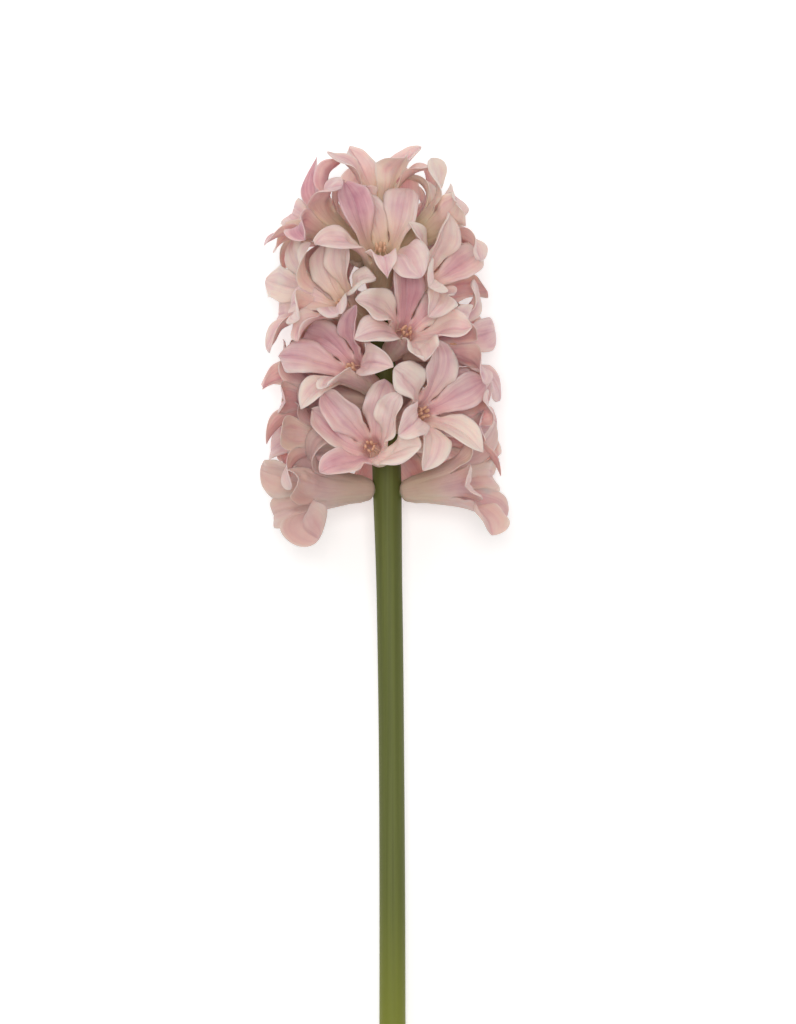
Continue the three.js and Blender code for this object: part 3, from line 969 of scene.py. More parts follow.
@dataclass
class Floret:
    """One floret: a closed skin of the tube and its six lobes, with room for its stamens.

    Attributes:
        index: Its number on the spike, from 1.
        plan: Where it sits and how its lobes spread.
        form: The form of all florets.
        line: The stem's centre line.
        place: Where the flower lies.
        columns: Faces over the width of a lobe.
        rows: Faces along a lobe.
        tube_rows: Faces along the tube.
        tip_crowding: How the rows of a lobe crowd towards its tip.
        mouth_crowding: How those of the tube crowd towards its mouth.
        lobe_thickness: A lobe's thickness at its foot.
        tip_thickness: Its thickness at its tip.
        edge_thinning: How much thinner it is at its edges.
        throat_flesh: How much thicker it is inside the throat.
        flesh_end: Where that ends, as a share of its length.
        base_bulge: How far the tube swells over its base.
        base_depth: How far its rounded base reaches under its seat.
        base_turns: The rings of that base, in degrees from its middle.
        flare_depth: How much deeper that is on wide tubes.
        seam_groove: Depth of the grooves between the lobes on the tube.
        seam_sharpness: How narrow they are.
        cavity_floor: Where the tube's hollow begins above its seat.
        cavity_dip: How much deeper it is in the middle.
        ground_height: The height below which petals bend flat.
        ground_give: How much of their shape they keep there.
        ground_least: The lowest that their middles get.
        seed_step: What each floret adds to the seed of its characters.
    """

    index: int
    plan: FloretPlan
    form: PerianthForm
    line: StemLine
    place: LyingPlace
    columns: int = 20
    rows: int = 32
    tube_rows: int = 9
    tip_crowding: float = 1.35
    mouth_crowding: float = 0.9
    lobe_thickness: float = 0.56
    tip_thickness: float = 0.36
    edge_thinning: float = 0.96
    throat_flesh: float = 1.5
    flesh_end: float = 0.45
    base_bulge: float = 0.5
    base_depth: float = 1.3
    base_turns: tuple[float, ...] = (18, 38, 58, 76)
    flare_depth: float = 3.2
    seam_groove: float = 0.3
    seam_sharpness: float = 12
    cavity_floor: float = 8.0
    cavity_dip: float = 0.4
    ground_height: float = 0.42
    ground_give: float = 0.04
    ground_least: float = 0.3
    seed_step: int = 7919

    def __post_init__(self) -> None:
        """Sets the floret's frame and finds how its lobes are bent."""
        self.axes, self.seat = self.form.frame_of(self.plan, self.line)
        solid = self.to_own(node_points(self.node))
        finder = BendFinder()
        found = [finder.find(self.form, pose, solid) for pose in self.form.natural_poses(self.plan)]
        self.poses = [pose for pose, _ in found]
        self.mismatch = max(score for _, score in found)
        draws = SeededDraws(self.seed_step * self.index)
        self.characters = [LobeCharacter.drawn(draws, pose) for pose in self.poses]

    @property
    def base_reach(self) -> float:
        """How far the tube's rounded base reaches under its seat, further on wide tubes."""
        return self.base_depth + self.flare_depth * (self.plan.flare - 1)

    @property
    def node(self) -> str:
        """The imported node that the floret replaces."""
        return f"floret_{self.index:02d}"

    def to_row(self, points: Array) -> Array:
        """Carries points of size 1 from the floret's own frame to where the flower lies."""
        return self.place.points(self.plan.size * points @ self.axes.T + self.seat)

    def to_own(self, points: Array) -> Array:
        """Carries points from where the flower lies to the floret's own frame, at size 1."""
        upright = (points - self.place.origin) @ self.place.turn
        return (upright - self.seat) @ self.axes / self.plan.size

    def settled(self, points: Array) -> Array:
        """Lays points that would sink into the floor flat on it.

        Args:
            points: The points, which change.

        Returns:
            The same points.
        """
        height = points[..., 2]
        low = self.ground_height + (height - self.ground_height) * self.ground_give
        low = np.maximum(low, self.ground_least)
        points[..., 2] = np.where(height < self.ground_height, low, height)
        return points

    def surface(self, lobe: int, share: Array, across: Array, lift: float = 0.0) -> Array:
        """Points of a lobe as it stands now, where the flower lies, lifted off its middle."""
        pose, look = self.poses[lobe], self.characters[lobe]
        return self.settled(self.to_row(self.form.lobe_surface(pose, share, across, lift, look)))

    def tube_wall(self, along: Array, angle: Array, face: Face) -> Array:
        """Points of the tube's wall.

        Args:
            along: Distance from the seat, in a column.
            angle: Direction round the axis, in a row.
            face: The side of the wall.

        Returns:
            The points in the floret's own frame.
        """
        form = self.form
        share = along / form.tube_length
        radius = self.plan.flare * (form.base_radius + (form.mouth_radius - form.base_radius) * share)
        seam = (angle - self.poses[0].slot) * form.lobes / 2
        groove = self.seam_groove * np.abs(np.sin(seam)) ** self.seam_sharpness * ease(share, 0.1, 0.8)
        groove = groove * ease(share, 1.02, 0.9)
        if face is Face.OUTER:
            radius = radius + form.thickness / 2 * (1 - ease(share, 0.5, 1))
            radius = radius + self.lobe_thickness / 2 * ease(share, 0.5, 1)
            bulge_at, bulge_spread = 0.1, 0.16
            bulge = np.exp(-(((share - bulge_at) / bulge_spread) ** 2))
            radius = radius + self.base_bulge * bulge - groove
        else:
            radius = radius - self.lobe_thickness / 2 - 0.5 * groove - self.throat_flesh
        return joined(radius * np.cos(angle), radius * np.sin(angle), along)

    def base_rows(self, angle: Array) -> Array:
        """The rounded base of the tube, from near its middle out to the wall.

        Args:
            angle: The directions of its columns, in a row.

        Returns:
            The points in the floret's own frame.
        """
        wall = self.tube_wall(np.array([[0.0]]), angle, Face.OUTER)[0]
        turns = np.radians(self.base_turns)[:, None, None]
        ring = wall[None] * np.sin(turns)
        ring[..., 2] = -self.base_reach * np.cos(turns[..., 0])
        return ring

    def build(self, material: Material) -> Piece:
        """Builds the floret's skin.

        Args:
            material: The petals' finish.

        Returns:
            The piece.
        """
        tissue = Tissue()
        columns = self.columns * self.form.lobes
        angle = self.poses[0].slot + (np.arange(columns) - self.columns / 2) * 2 * math.pi / columns
        mouths = {face: self.add_tube(tissue, angle[None], face) for face in Face}
        across = np.linspace(-1, 1, self.columns + 1)
        shares = 1 - (1 - np.arange(1, self.rows) / self.rows) ** self.tip_crowding
        along = np.concatenate([[0.0], shares])
        for lobe, pose in enumerate(self.poses):
            at = (lobe * self.columns + np.arange(self.columns + 1)) % columns
            skins = self.lobe_skins(lobe, shares, across)
            tissue.tone = self.tone(pose)
            edges = {}
            for face in Face:
                numbers = np.vstack([mouths[face][at], tissue.add_points(skins[face][0])])
                tip = int(tissue.add_points(skins[face][1]))
                tissue.add_sheet(numbers, across, along, face)
                tissue.add_fan(numbers[-1], tip, across, (along[-1], 1.0), face)
                edges[face] = (numbers, tip)
            self.add_rim(tissue, edges, along)
        return tissue.to_object(f"petals_{self.index:02d}", material)

    def tone(self, pose: LobePose) -> Triple:
        """What the finish reads of a lobe: its blush, and the floret's green and painted shade."""
        return (pose.plan.blush, self.plan.green, self.plan.dull)

    def add_tube(self, tissue: Tissue, angle: Array, face: Face) -> Array:
        """Adds one side of the tube's wall with its closed end.

        Args:
            tissue: The skin to add to.
            angle: The directions of its columns, in a row.
            face: The side of the wall.

        Returns:
            The numbers of the points round its mouth.
        """
        length, crowding = self.form.tube_length, self.mouth_crowding
        start = 0.0 if face is Face.OUTER else self.cavity_floor
        along = start + (length - start) * (np.arange(self.tube_rows + 1) / self.tube_rows) ** crowding
        wall = self.tube_wall(along[:, None], angle, face)
        if face is Face.OUTER:
            wall = np.concatenate([self.base_rows(angle), wall])
            depth = -self.base_reach
        else:
            depth = self.cavity_floor - self.cavity_dip
        numbers = tissue.add_points(self.to_row(wall))
        centre = int(tissue.add_points(self.to_row(np.array([0.0, 0.0, depth]))))
        places = np.concatenate([np.full(len(wall) - len(along), -1.0), along / length - 1])
        across = np.linspace(-1, 1, self.columns + 1)
        for lobe, pose in enumerate(self.poses):
            at = (lobe * self.columns + np.arange(self.columns + 1)) % angle.size
            tissue.tone = self.tone(pose)
            tissue.add_sheet(numbers[:, at], across, places, face)
            tissue.add_fan(numbers[0, at], centre, across, (places[0], -1.0), face, flip=True)
        return numbers[-1]

    def lobe_skins(self, lobe: int, shares: Array, across: Array) -> dict[Face, tuple[Array, Array]]:
        """Both sides of a lobe, set off from its middle along its own normals.

        Args:
            lobe: Its number.
            shares: Its rows.
            across: Its columns.

        Returns:
            For each side the points by row and column, and the tip.
        """
        rows = np.concatenate([[0.0], shares, [1.0]])
        middle = self.surface(lobe, rows[:, None], across[None])
        along = np.gradient(middle, axis=0)
        aside = np.gradient(middle, axis=1)
        aside[-1] = aside[-2]
        centre = len(across) // 2
        normal = np.cross(along, aside)
        normal /= np.linalg.norm(normal, axis=2, keepdims=True)
        normal[-1] = normal[-2, centre]
        thickness = self.lobe_thickness + (self.tip_thickness - self.lobe_thickness) * rows
        thickness = thickness * np.sqrt(1 - 0.9 * rows**12)
        thinning = np.sqrt(1 - self.edge_thinning * np.abs(across) ** 5)
        half = self.plan.size * thickness[:, None, None] / 2 * thinning[None, :, None]
        flesh = self.plan.size * self.throat_flesh * np.clip(1 - rows / self.flesh_end, 0, 1) ** 2
        flesh = flesh[:, None, None] * (1 - across**4)[None, :, None]
        outer, inner = middle - half * normal, middle + (half + flesh) * normal
        return {
            Face.OUTER: (outer[1:-1], outer[-1, centre]),
            Face.INNER: (inner[1:-1], inner[-1, centre]),
        }

    def add_rim(self, tissue: Tissue, edges: dict[Face, tuple[Array, int]], along: Array) -> None:
        """Joins both sides of a lobe round its edge.

        Args:
            tissue: The skin to add to.
            edges: For each side the lobe's points by row and column, and its tip.
            along: The place of each row.
        """
        outer, outer_tip = edges[Face.OUTER]
        inner, inner_tip = edges[Face.INNER]
        for column, across in ((0, -1.0), (-1, 1.0)):
            out = [*outer[:, column], outer_tip]
            into = [*inner[:, column], inner_tip]
            places = [*along, 1.0]
            for row in range(len(out) - 1):
                near, far = (across, places[row], 0.5), (across, places[row + 1], 0.5)
                corners = [(out[row], near), (into[row], near), (into[row + 1], far), (out[row + 1], far)]
                tissue.add_face(corners if column else corners[::-1])


@dataclass(frozen=True)
class Sheet:
    """A thin surface that lobes are kept clear of.

    Attributes:
        tree: Its faces, for finding crossings.
        low: The lowest corner of its box.
        high: The highest corner of its box.
    """

    tree: BVHTree
    low: Array
    high: Array

    @classmethod
    def of(cls, *grids: Array) -> "Sheet":
        """Makes a sheet from grids of points.

        Args:
            grids: The points of each grid by row and column.

        Returns:
            The sheet.
        """
        points, faces = [], []
        for grid in grids:
            rows, columns = grid.shape[:2]
            numbers = len(points) + np.arange(rows * columns).reshape(rows, columns)
            points.extend(grid.reshape(-1, 3).tolist())
            quads = np.stack([numbers[:-1, :-1], numbers[:-1, 1:], numbers[1:, 1:], numbers[1:, :-1]], -1)
            faces.extend(quads.reshape(-1, 4).tolist())
        corners = np.array(points)
        return cls(BVHTree.FromPolygons(points, faces), corners.min(axis=0), corners.max(axis=0))

    def crossings(self, other: "Sheet") -> int:
        """Counts the pairs of faces of both sheets that cross."""
        apart = (self.low > other.high).any() or (other.low > self.high).any()
        return 0 if apart else len(self.tree.overlap(other.tree))


@dataclass
class Clearing:
    """Calms the lobes of the florets until they stand clear of each other.

    Attributes:
        florets: The florets.
        strengths: How much of its character a lobe may show, the most first.
        nudges: Further degrees that a lobe may open and swing aside, each with a length.
        gap: How far the middles of two lobes stay apart.
        rounds: How often all lobes are gone through.
        own_from: The share of their length from which on lobes of one floret are compared.
        own_weight: What a crossing between those counts.
    """

    florets: Sequence[Floret]
    strengths: tuple[float, ...] = (1.0, 0.75, 0.5, 0.25, 0.0)
    nudges: tuple[Triple, ...] = (
        (0, 5, 1), (0, -5, 1), (8, 0, 1), (-8, 0, 1), (0, 0, 0.92), (10, 5, 0.95), (10, -5, 0.95),
        (-10, 5, 0.95), (-10, -5, 0.95), (16, 0, 0.92), (-16, 0, 0.92), (0, 9, 0.9), (0, -9, 0.9),
        (0, 0, 0.84), (14, 8, 0.86), (14, -8, 0.86), (-14, 8, 0.86), (-14, -8, 0.86), (0, 0, 0.76),
    )
    gap: float = 0.5
    rounds: int = 2
    own_from: float = 0.5
    own_weight: float = 0.2

    def __post_init__(self) -> None:
        """Takes the middle of every lobe at its calmest, and the tubes and the stem."""
        self.shares = np.concatenate([np.linspace(0.08, 0.9, 12), [0.96, 1.0]])[:, None]
        self.across = np.linspace(-1, 1, 9)[None]
        self.drawn = [list(floret.characters) for floret in self.florets]
        self.found = [list(floret.poses) for floret in self.florets]
        for floret in self.florets:
            floret.characters = [look.calmed(0) for look in floret.characters]
        lobes = range(len(self.found[0]))
        self.middles, self.uppers = (
            [[self.middle(floret, lobe, start) for lobe in lobes] for floret in self.florets]
            for start in (0.0, self.own_from)
        )
        self.tubes = [self.tube(floret) for floret in self.florets]
        self.stem = self.bare_stem()

    def grid(self, floret: Floret, lobe: int, lift: float, start: float = 0.0) -> Array:
        """Points of a lobe as it stands now, from some share of its length on."""
        shares = self.shares[self.shares[:, 0] >= start]
        return floret.surface(lobe, shares, self.across, lift)

    def middle(self, floret: Floret, lobe: int, start: float = 0.0) -> Sheet:
        """The middle of a lobe, likewise."""
        return Sheet.of(self.grid(floret, lobe, 0.0, start))

    def tube(self, floret: Floret) -> Sheet:
        """The wall of a floret's tube."""
        along, angle = np.linspace(0, floret.form.tube_length, 6), np.linspace(0, 2 * math.pi, 19)
        return Sheet.of(floret.to_row(floret.tube_wall(along[:, None], angle[None], Face.OUTER)))

    def bare_stem(self) -> Sheet:
        """The stem's skin along the spike.

        Returns:
            The skin.
        """
        angle, rings = np.linspace(0, 2 * math.pi, 17), []
        line, place = self.florets[0].line, self.florets[0].place
        for height in np.arange(150.0, line.length, 4.0):
            x = line.aside(height) + line.radius(height) * np.cos(angle)
            rings.append(joined(x, height, line.radius(height) * np.sin(angle)))
        return Sheet.of(place.points(np.array(rings)))

    def crossings(self, index: int, lobe: int) -> float:
        """Counts where a lobe as it stands now comes too near to anything else.

        Args:
            index: Its floret.
            lobe: Its number.

        Returns:
            The weighted count.
        """
        floret = self.florets[index]
        skin = Sheet.of(self.grid(floret, lobe, -self.gap), self.grid(floret, lobe, self.gap))
        count = skin.crossings(self.stem)
        for other, middles in enumerate(self.middles):
            if other == index:
                own = self.uppers[index]
                upper = Sheet.of(self.grid(floret, lobe, 0.0, self.own_from))
                near = sum(upper.crossings(sheet) for at, sheet in enumerate(own) if at != lobe)
                count += self.own_weight * near
                continue
            count += skin.crossings(self.tubes[other])
            count += sum(skin.crossings(sheet) for sheet in middles)
        return count

    def settle_lobe(self, index: int, lobe: int) -> float:
        """Gives a lobe as much of its character as leaves it clear.

        Args:
            index: Its floret.
            lobe: Its number.

        Returns:
            How many crossings are left.
        """
        floret = self.florets[index]
        pose, drawn = self.found[index][lobe], self.drawn[index][lobe]
        options = [(pose, drawn.calmed(strength)) for strength in self.strengths]
        for opening, swing, extent in self.nudges:
            options.append((pose.bent(opening, swing), replace(drawn.calmed(0), extent=extent)))
        counts = []
        for stands, look in options:
            floret.poses[lobe], floret.characters[lobe] = stands, look
            counts.append(self.crossings(index, lobe))
            if counts[-1] == 0:
                break
        best = int(np.argmin(counts))
        floret.poses[lobe], floret.characters[lobe] = options[best]
        self.middles[index][lobe] = self.middle(floret, lobe)
        self.uppers[index][lobe] = self.middle(floret, lobe, self.own_from)
        return counts[best]

    def run(self) -> None:
        """Goes through all lobes."""
        for turn in range(self.rounds):
            left = [
                self.settle_lobe(index, lobe)
                for index, floret in enumerate(self.florets)
                for lobe in range(len(floret.poses))
            ]
            log.info("round %d: %d lobes still cross another", turn + 1, sum(count > 0 for count in left))


class NodeTree:
    """A node tree under construction."""

    def __init__(self, tree: bpy.types.NodeTree) -> None:
        """Takes the tree that nodes are added to."""
        self.tree = tree

    def add(
        self, kind: str, inputs: dict[str | int, object] | None = None, **settings: object
    ) -> bpy.types.Node:
        """Adds a node.

        Args:
            kind: Its type.
            inputs: What feeds its sockets, by their names or numbers.
            settings: Its own settings.

        Returns:
            The node.
        """
        node = self.tree.nodes.new(kind)
        for name, value in settings.items():
            setattr(node, name, value)
        for key, value in (inputs or {}).items():
            self.feed(node.inputs[key], value)
        return node

    def feed(self, socket: Socket, value: object) -> None:
        """Feeds a socket.

        Args:
            socket: The socket.
            value: Its value, or the socket that gives it.
        """
        if isinstance(value, Socket):
            self.tree.links.new(value, socket)
        else:
            socket.default_value = value

    def math(self, operation: str, *values: object) -> Socket:
        """Works out one number from others."""
        return self.add("ShaderNodeMath", dict(enumerate(values)), operation=operation).outputs[0]

    def vector(self, x: object, y: object, z: object) -> Socket:
        """Joins three numbers to a vector."""
        return self.add("ShaderNodeCombineXYZ", {"X": x, "Y": y, "Z": z}).outputs[0]

    def rise(self, value: object, low: float, high: float, top: float = 1.0) -> Socket:
        """A soft rise from 0 at low to top at high."""
        inputs = {"Value": value, "From Min": low, "From Max": high, "To Min": 0.0, "To Max": top}
        return self.add("ShaderNodeMapRange", inputs, interpolation_type="SMOOTHSTEP").outputs[0]

    def noise(self, place: object, scale: float, detail: float = 2.0) -> Socket:
        """Soft noise at a place, from 0 to 1."""
        inputs = {"Vector": place, "Scale": scale, "Detail": detail}
        return self.add("ShaderNodeTexNoise", inputs).outputs[0]

    def lengthwise(self, place: object, slope: object, across: object, along: float) -> Socket:
        """Scales a place so that noise there runs along the stem.

        Args:
            place: The place.
            slope: How steeply the stem rises from the floor.
            across: The scale square to the stem.
            along: The scale along it.

        Returns:
            The scaled place.
        """
        x, y, z = self.add("ShaderNodeSeparateXYZ", {"Vector": place}).outputs
        z = self.math("SUBTRACT", z, self.math("MULTIPLY", y, slope))
        scaled = ((x, across), (y, along), (z, across))
        return self.vector(*(self.math("MULTIPLY", part, scale) for part, scale in scaled))


class Shader(NodeTree):
    """The node tree of a finish."""

    def __init__(self, name: str) -> None:
        """Starts a material with one principled surface.

        Args:
            name: Its name.
        """
        self.material = bpy.data.materials.new(name)
        self.material.use_nodes = True
        super().__init__(self.material.node_tree)
        self.surface = self.tree.nodes["Principled BSDF"]

    def attribute(self, name: str, output: str) -> Socket:
        """Reads an attribute of the mesh as a vector or a number."""
        return self.add("ShaderNodeAttribute", attribute_name=name).outputs[output]

    def mix(self, share: object, first: object, second: object) -> Socket:
        """Mixes two colours."""
        return self.add("ShaderNodeMix", {0: share, 6: first, 7: second}, data_type="RGBA").outputs[2]

    def ramp(self, value: object, stops: Sequence[tuple[float, str]]) -> Socket:
        """Runs through colours.

        Args:
            value: Where in the run to look.
            stops: The places of the colours, and the colours.

        Returns:
            The colour.
        """
        node = self.add("ShaderNodeValToRGB", {"Fac": value})
        elements = node.color_ramp.elements
        elements[0].position, elements[-1].position = stops[0][0], stops[-1][0]
        elements[0].color, elements[-1].color = shade(stops[0][1]), shade(stops[-1][1])
        for place, code in stops[1:-1]:
            elements.new(place).color = shade(code)
        return node.outputs["Color"]

    def set(self, **values: object) -> None:
        """Feeds sockets of the surface; an underscore in a name stands for a space."""
        for name, value in values.items():
            self.feed(self.surface.inputs[name.replace("_", " ")], value)

    def bump(self, height: object, strength: float, distance: float) -> Socket:
        """Turns a height into a bumped normal."""
        inputs = {"Height": height, "Strength": strength, "Distance": distance * MM}
        return self.add("ShaderNodeBump", inputs).outputs[0]


@dataclass(frozen=True)
class PetalFinish:
    """Waxy petal skin: pale pink with creamy edges, rosy veins and throat, and a greenish tube."""

    cream: str = "#f1d8cb"
    pale: str = "#ebc8c3"
    rose: str = "#d9abb1"
    deep: str = "#c08a97"
    throat: str = "#e3a9a0"
    tube: str = "#d0bc90"
    # The dusky colour of the painted shade on the lower florets.
    painted_shade_colour: str = "#ab9389"
    roughness: float = 0.52
    translucence: float = 0.45
    glow: Triple = (1.0, 0.55, 0.45)
    glow_depth: float = 2.0

    def material(self) -> Material:
        """Builds the material.

        Returns:
            The material.
        """
        shader = Shader("petal_skin")
        place = shader.attribute("petal_place", "Vector")
        across, along, inner = shader.add("ShaderNodeSeparateXYZ", {"Vector": place}).outputs
        blush = shader.attribute("blush", "Fac")
        green = shader.attribute("green", "Fac")
        spot = shader.add("ShaderNodeTexCoord").outputs["Object"]
        veins = self.veins(shader, across, along, blush)
        cloud = shader.noise(spot, scale=150.0, detail=3.0)
        aside = shader.math("ABSOLUTE", across)
        tint = shader.math("MULTIPLY_ADD", blush, 0.7, 0.12)
        tint = shader.math("ADD", tint, shader.math("MULTIPLY_ADD", veins, 0.34, -0.12))
        tint = shader.math("ADD", tint, shader.math("MULTIPLY_ADD", cloud, 0.8, -0.4))
        tint = shader.math("SUBTRACT", tint, shader.rise(aside, 0.35, 1.0, 0.24))
        rib = shader.rise(aside, 0.16, 0.0)
        tint = shader.math("MULTIPLY_ADD", rib, 0.06, tint)
        stops = ((0.0, self.cream), (0.3, self.pale), (0.66, self.rose), (1.0, self.deep))
        colour = shader.ramp(tint, stops)
        deep = shader.math("MULTIPLY", inner, shader.rise(along, 0.25, -0.4, 0.7))
        rosy = shader.math("MULTIPLY", deep, shader.math("MULTIPLY_ADD", green, -0.6, 0.9))
        colour = shader.mix(rosy, colour, shade(self.throat))
        reach = shader.math("MULTIPLY_ADD", green, 1.0, -0.75)
        low = shader.rise(shader.math("SUBTRACT", along, reach), 0.35, -0.5)
        greenish = shader.math("MULTIPLY", low, shader.math("MULTIPLY_ADD", green, 0.55, 0.2))
        colour = shader.mix(greenish, colour, shade(self.tube))
        # Painted shade: the lower florets are greyed and darkened towards a dusky colour, standing in for
        # the shade that falls on them.
        dull = shader.math("MULTIPLY", shader.attribute("dull", "Fac"), 0.5)
        colour = shader.mix(dull, colour, shade(self.painted_shade_colour))
        relief = shader.math("ADD", veins, shader.math("MULTIPLY", cloud, 0.3))
        relief = shader.math("MULTIPLY_ADD", rib, -0.6, relief)
        shader.set(
            Base_Color=colour,
            Roughness=self.roughness,
            Subsurface_Weight=self.translucence,
            Subsurface_Radius=self.glow,
            Subsurface_Scale=self.glow_depth * MM,
            Sheen_Weight=0.1,
            Sheen_Roughness=0.45,
            Specular_IOR_Level=0.3,
            Normal=shader.bump(relief, 0.4, 0.3),
        )
        return shader.material

    @staticmethod
    def veins(shader: Shader, across: object, along: object, seed: object) -> Socket:
        """Streaks that run along a petal: a few broad ones and many fine ones.

        Args:
            shader: The finish's tree.
            across: The place over the petal's width.
            along: The place from the tube's base to the tip.
            seed: What makes the streaks of each petal its own.

        Returns:
            The streaks, from 0 to 1.
        """
        shift = shader.math("MULTIPLY", seed, 31.0)
        layers = []
        for density, share in ((3.2, 0.6), (9.5, 0.4)):
            beside = shader.math("MULTIPLY", across, density)
            place = shader.vector(beside, shader.math("MULTIPLY", along, 1.1), shift)
            streak = shader.rise(shader.noise(place, 1.0, 3.0), 0.34, 0.68)
            layers.append(shader.math("MULTIPLY", streak, share))
        return shader.math("ADD", *layers)


@dataclass(frozen=True)
class StemFinish:
    """Smooth olive stem skin with fine lengthwise streaks, yellower towards the cut end."""

    olive: str = "#606632"
    light: str = "#6d733b"
    dark: str = "#505728"
    yellow: str = "#838834"
    blush: str = "#b9b087"
    cut: str = "#c3c68a"
    roughness: float = 0.56

    def material(self, place: LyingPlace) -> Material:
        """Builds the material.

        Args:
            place: Where the flower lies.

        Returns:
            The material.
        """
        shader = Shader("stem_skin")
        spot = shader.add("ShaderNodeTexCoord").outputs["Object"]
        slope = math.tan(place.tilt)
        fibres = shader.noise(shader.lengthwise(spot, slope, 520.0, 6.0), scale=1.6, detail=4.0)
        bands = shader.noise(shader.lengthwise(spot, slope, 210.0, 6.0), scale=1.0)
        colour = shader.mix(shader.rise(fibres, 0.35, 0.75), shade(self.olive), shade(self.light))
        colour = shader.mix(shader.rise(bands, 0.55, 0.3, 0.4), colour, shade(self.dark))
        start = place.origin[1] * MM
        height = shader.add("ShaderNodeSeparateXYZ", {"Vector": spot}).outputs["Y"]
        lower = shader.rise(height, start + 0.085, start + 0.02, 0.9)
        colour = shader.mix(lower, colour, shade(self.yellow))
        sprout = shader.attribute("sprout", "Fac")
        colour = shader.mix(shader.rise(sprout, 0.2, 1.0, 0.7), colour, shade(self.blush))
        colour = shader.mix(shader.attribute("cut", "Fac"), colour, shade(self.cut))
        shader.set(
            Base_Color=colour,
            Roughness=self.roughness,
            Subsurface_Weight=0.08,
            Subsurface_Radius=(0.6, 1.0, 0.3),
            Subsurface_Scale=1.2 * MM,
            Specular_IOR_Level=0.22,
            Normal=shader.bump(fibres, 0.35, 0.25),
        )
        return shader.material


@dataclass(frozen=True)
class GrainFinish:
    """A small part's skin in two colours that run into each other in fine grains.

    Attributes:
        name: The material's name.
        main: Its main colour.
        second: The colour of its grains.
        grain: Grains to a metre.
        roughness: How dull it is.
    """

    name: str
    main: str
    second: str
    grain: float
    roughness: float

    def material(self) -> Material:
        """Builds the material.

        Returns:
            The material.
        """
        shader = Shader(self.name)
        spot = shader.add("ShaderNodeTexCoord").outputs["Object"]
        grains = shader.noise(spot, self.grain, 3.0)
        colour = shader.mix(shader.rise(grains, 0.35, 0.7), shade(self.main), shade(self.second))
        bumps = shader.bump(grains, 0.4, 0.08)
        shader.set(Base_Color=colour, Roughness=self.roughness, Normal=bumps)
        return shader.material


class GrowthTree(NodeTree):
    """A Geometry Nodes tree with named inputs that turns a source mesh into a finished one."""

    def __init__(self, name: str) -> None:
        """Starts the tree with its geometry sockets and a material input.

        Args:
            name: Its name.
        """
        super().__init__(bpy.data.node_groups.new(name, "GeometryNodeTree"))
        sockets = self.tree.interface
        sockets.new_socket("Geometry", in_out="INPUT", socket_type="NodeSocketGeometry")
        sockets.new_socket("Geometry", in_out="OUTPUT", socket_type="NodeSocketGeometry")
        self.entry = self.tree.nodes.new("NodeGroupInput")
        self.identifiers: dict[str, str] = {}
        self.finish_input = self.input("Finish")

    def input(self, name: str, default: int | float | None = None) -> Socket:
        """Adds a named input.

        Args:
            name: Its name.
            default: Its value where none is set, or none for a material.

        Returns:
            The socket that gives its value inside the tree.
        """
        kind = {int: "NodeSocketInt", float: "NodeSocketFloat"}.get(type(default), "NodeSocketMaterial")
        socket = self.tree.interface.new_socket(name, in_out="INPUT", socket_type=kind)
        if default is not None:
            socket.default_value = default
        self.identifiers[name] = socket.identifier
        return self.entry.outputs[name]

    def named(self, name: str, data_type: str = "FLOAT") -> Socket:
        """Reads an attribute of the source."""
        return self.add("GeometryNodeInputNamedAttribute", {"Name": name}, data_type=data_type).outputs[0]

    def keep(self, geometry: object, name: str, value: object, domain: str) -> Socket:
        """Writes a number to a geometry's points or faces, for the finish to read."""
        inputs = {"Geometry": geometry, "Name": name, "Value": value}
        return self.add("GeometryNodeStoreNamedAttribute", inputs, domain=domain).outputs[0]

    def sweep(self, curve: object, girth: object, sides: object) -> Socket:
        """Sweeps a circle along a curve and closes both ends.

        Args:
            curve: The curve.
            girth: The radius along it.
            sides: The corners of the circle.

        Returns:
            The mesh.
        """
        circle = self.add("GeometryNodeCurvePrimitiveCircle", {"Resolution": sides, "Radius": 1.0})
        inputs = {"Curve": curve, "Profile Curve": circle.outputs[0], "Scale": girth, "Fill Caps": True}
        return self.add("GeometryNodeCurveToMesh", inputs).outputs[0]

    def shift(self, geometry: object, offset: object) -> Socket:
        """Moves each point of a geometry."""
        return self.add("GeometryNodeSetPosition", {"Geometry": geometry, "Offset": offset}).outputs[0]

    def scaled(self, vector: object, scale: object) -> Socket:
        """Scales a vector."""
        return self.add("ShaderNodeVectorMath", {0: vector, "Scale": scale}, operation="SCALE").outputs[0]

    def close(self, geometry: object) -> None:
        """Ends the tree: instances made real, shaded smooth and given the finish.

        Args:
            geometry: What the tree has made.
        """
        real = self.add("GeometryNodeRealizeInstances", {"Geometry": geometry})
        smooth = self.add("GeometryNodeSetShadeSmooth", {"Geometry": real.outputs[0]})
        dressed = self.add(
            "GeometryNodeSetMaterial", {"Geometry": smooth.outputs[0], "Material": self.finish_input}
        )
        self.add("NodeGroupOutput", {0: dressed.outputs[0]})

    def grow(self, name: str, source: Piece, values: dict[str, object]) -> Piece:
        """Runs the tree on a source and keeps the result as a plain mesh.

        Args:
            name: The piece's name.
            source: The object with the points to grow from, which is used up.
            values: The tree's inputs by name.

        Returns:
            The piece.
        """
        modifier = source.modifiers.new(name, "NODES")
        modifier.node_group = self.tree
        for key, value in values.items():
            modifier[self.identifiers[key]] = value
        graph = bpy.context.evaluated_depsgraph_get()
        mesh = bpy.data.meshes.new_from_object(
            source.evaluated_get(graph), preserve_all_data_layers=True, depsgraph=graph
        )
        mesh.name = name
        source.modifiers.remove(modifier)
        bpy.data.objects.remove(source)
        return linked(name, mesh)


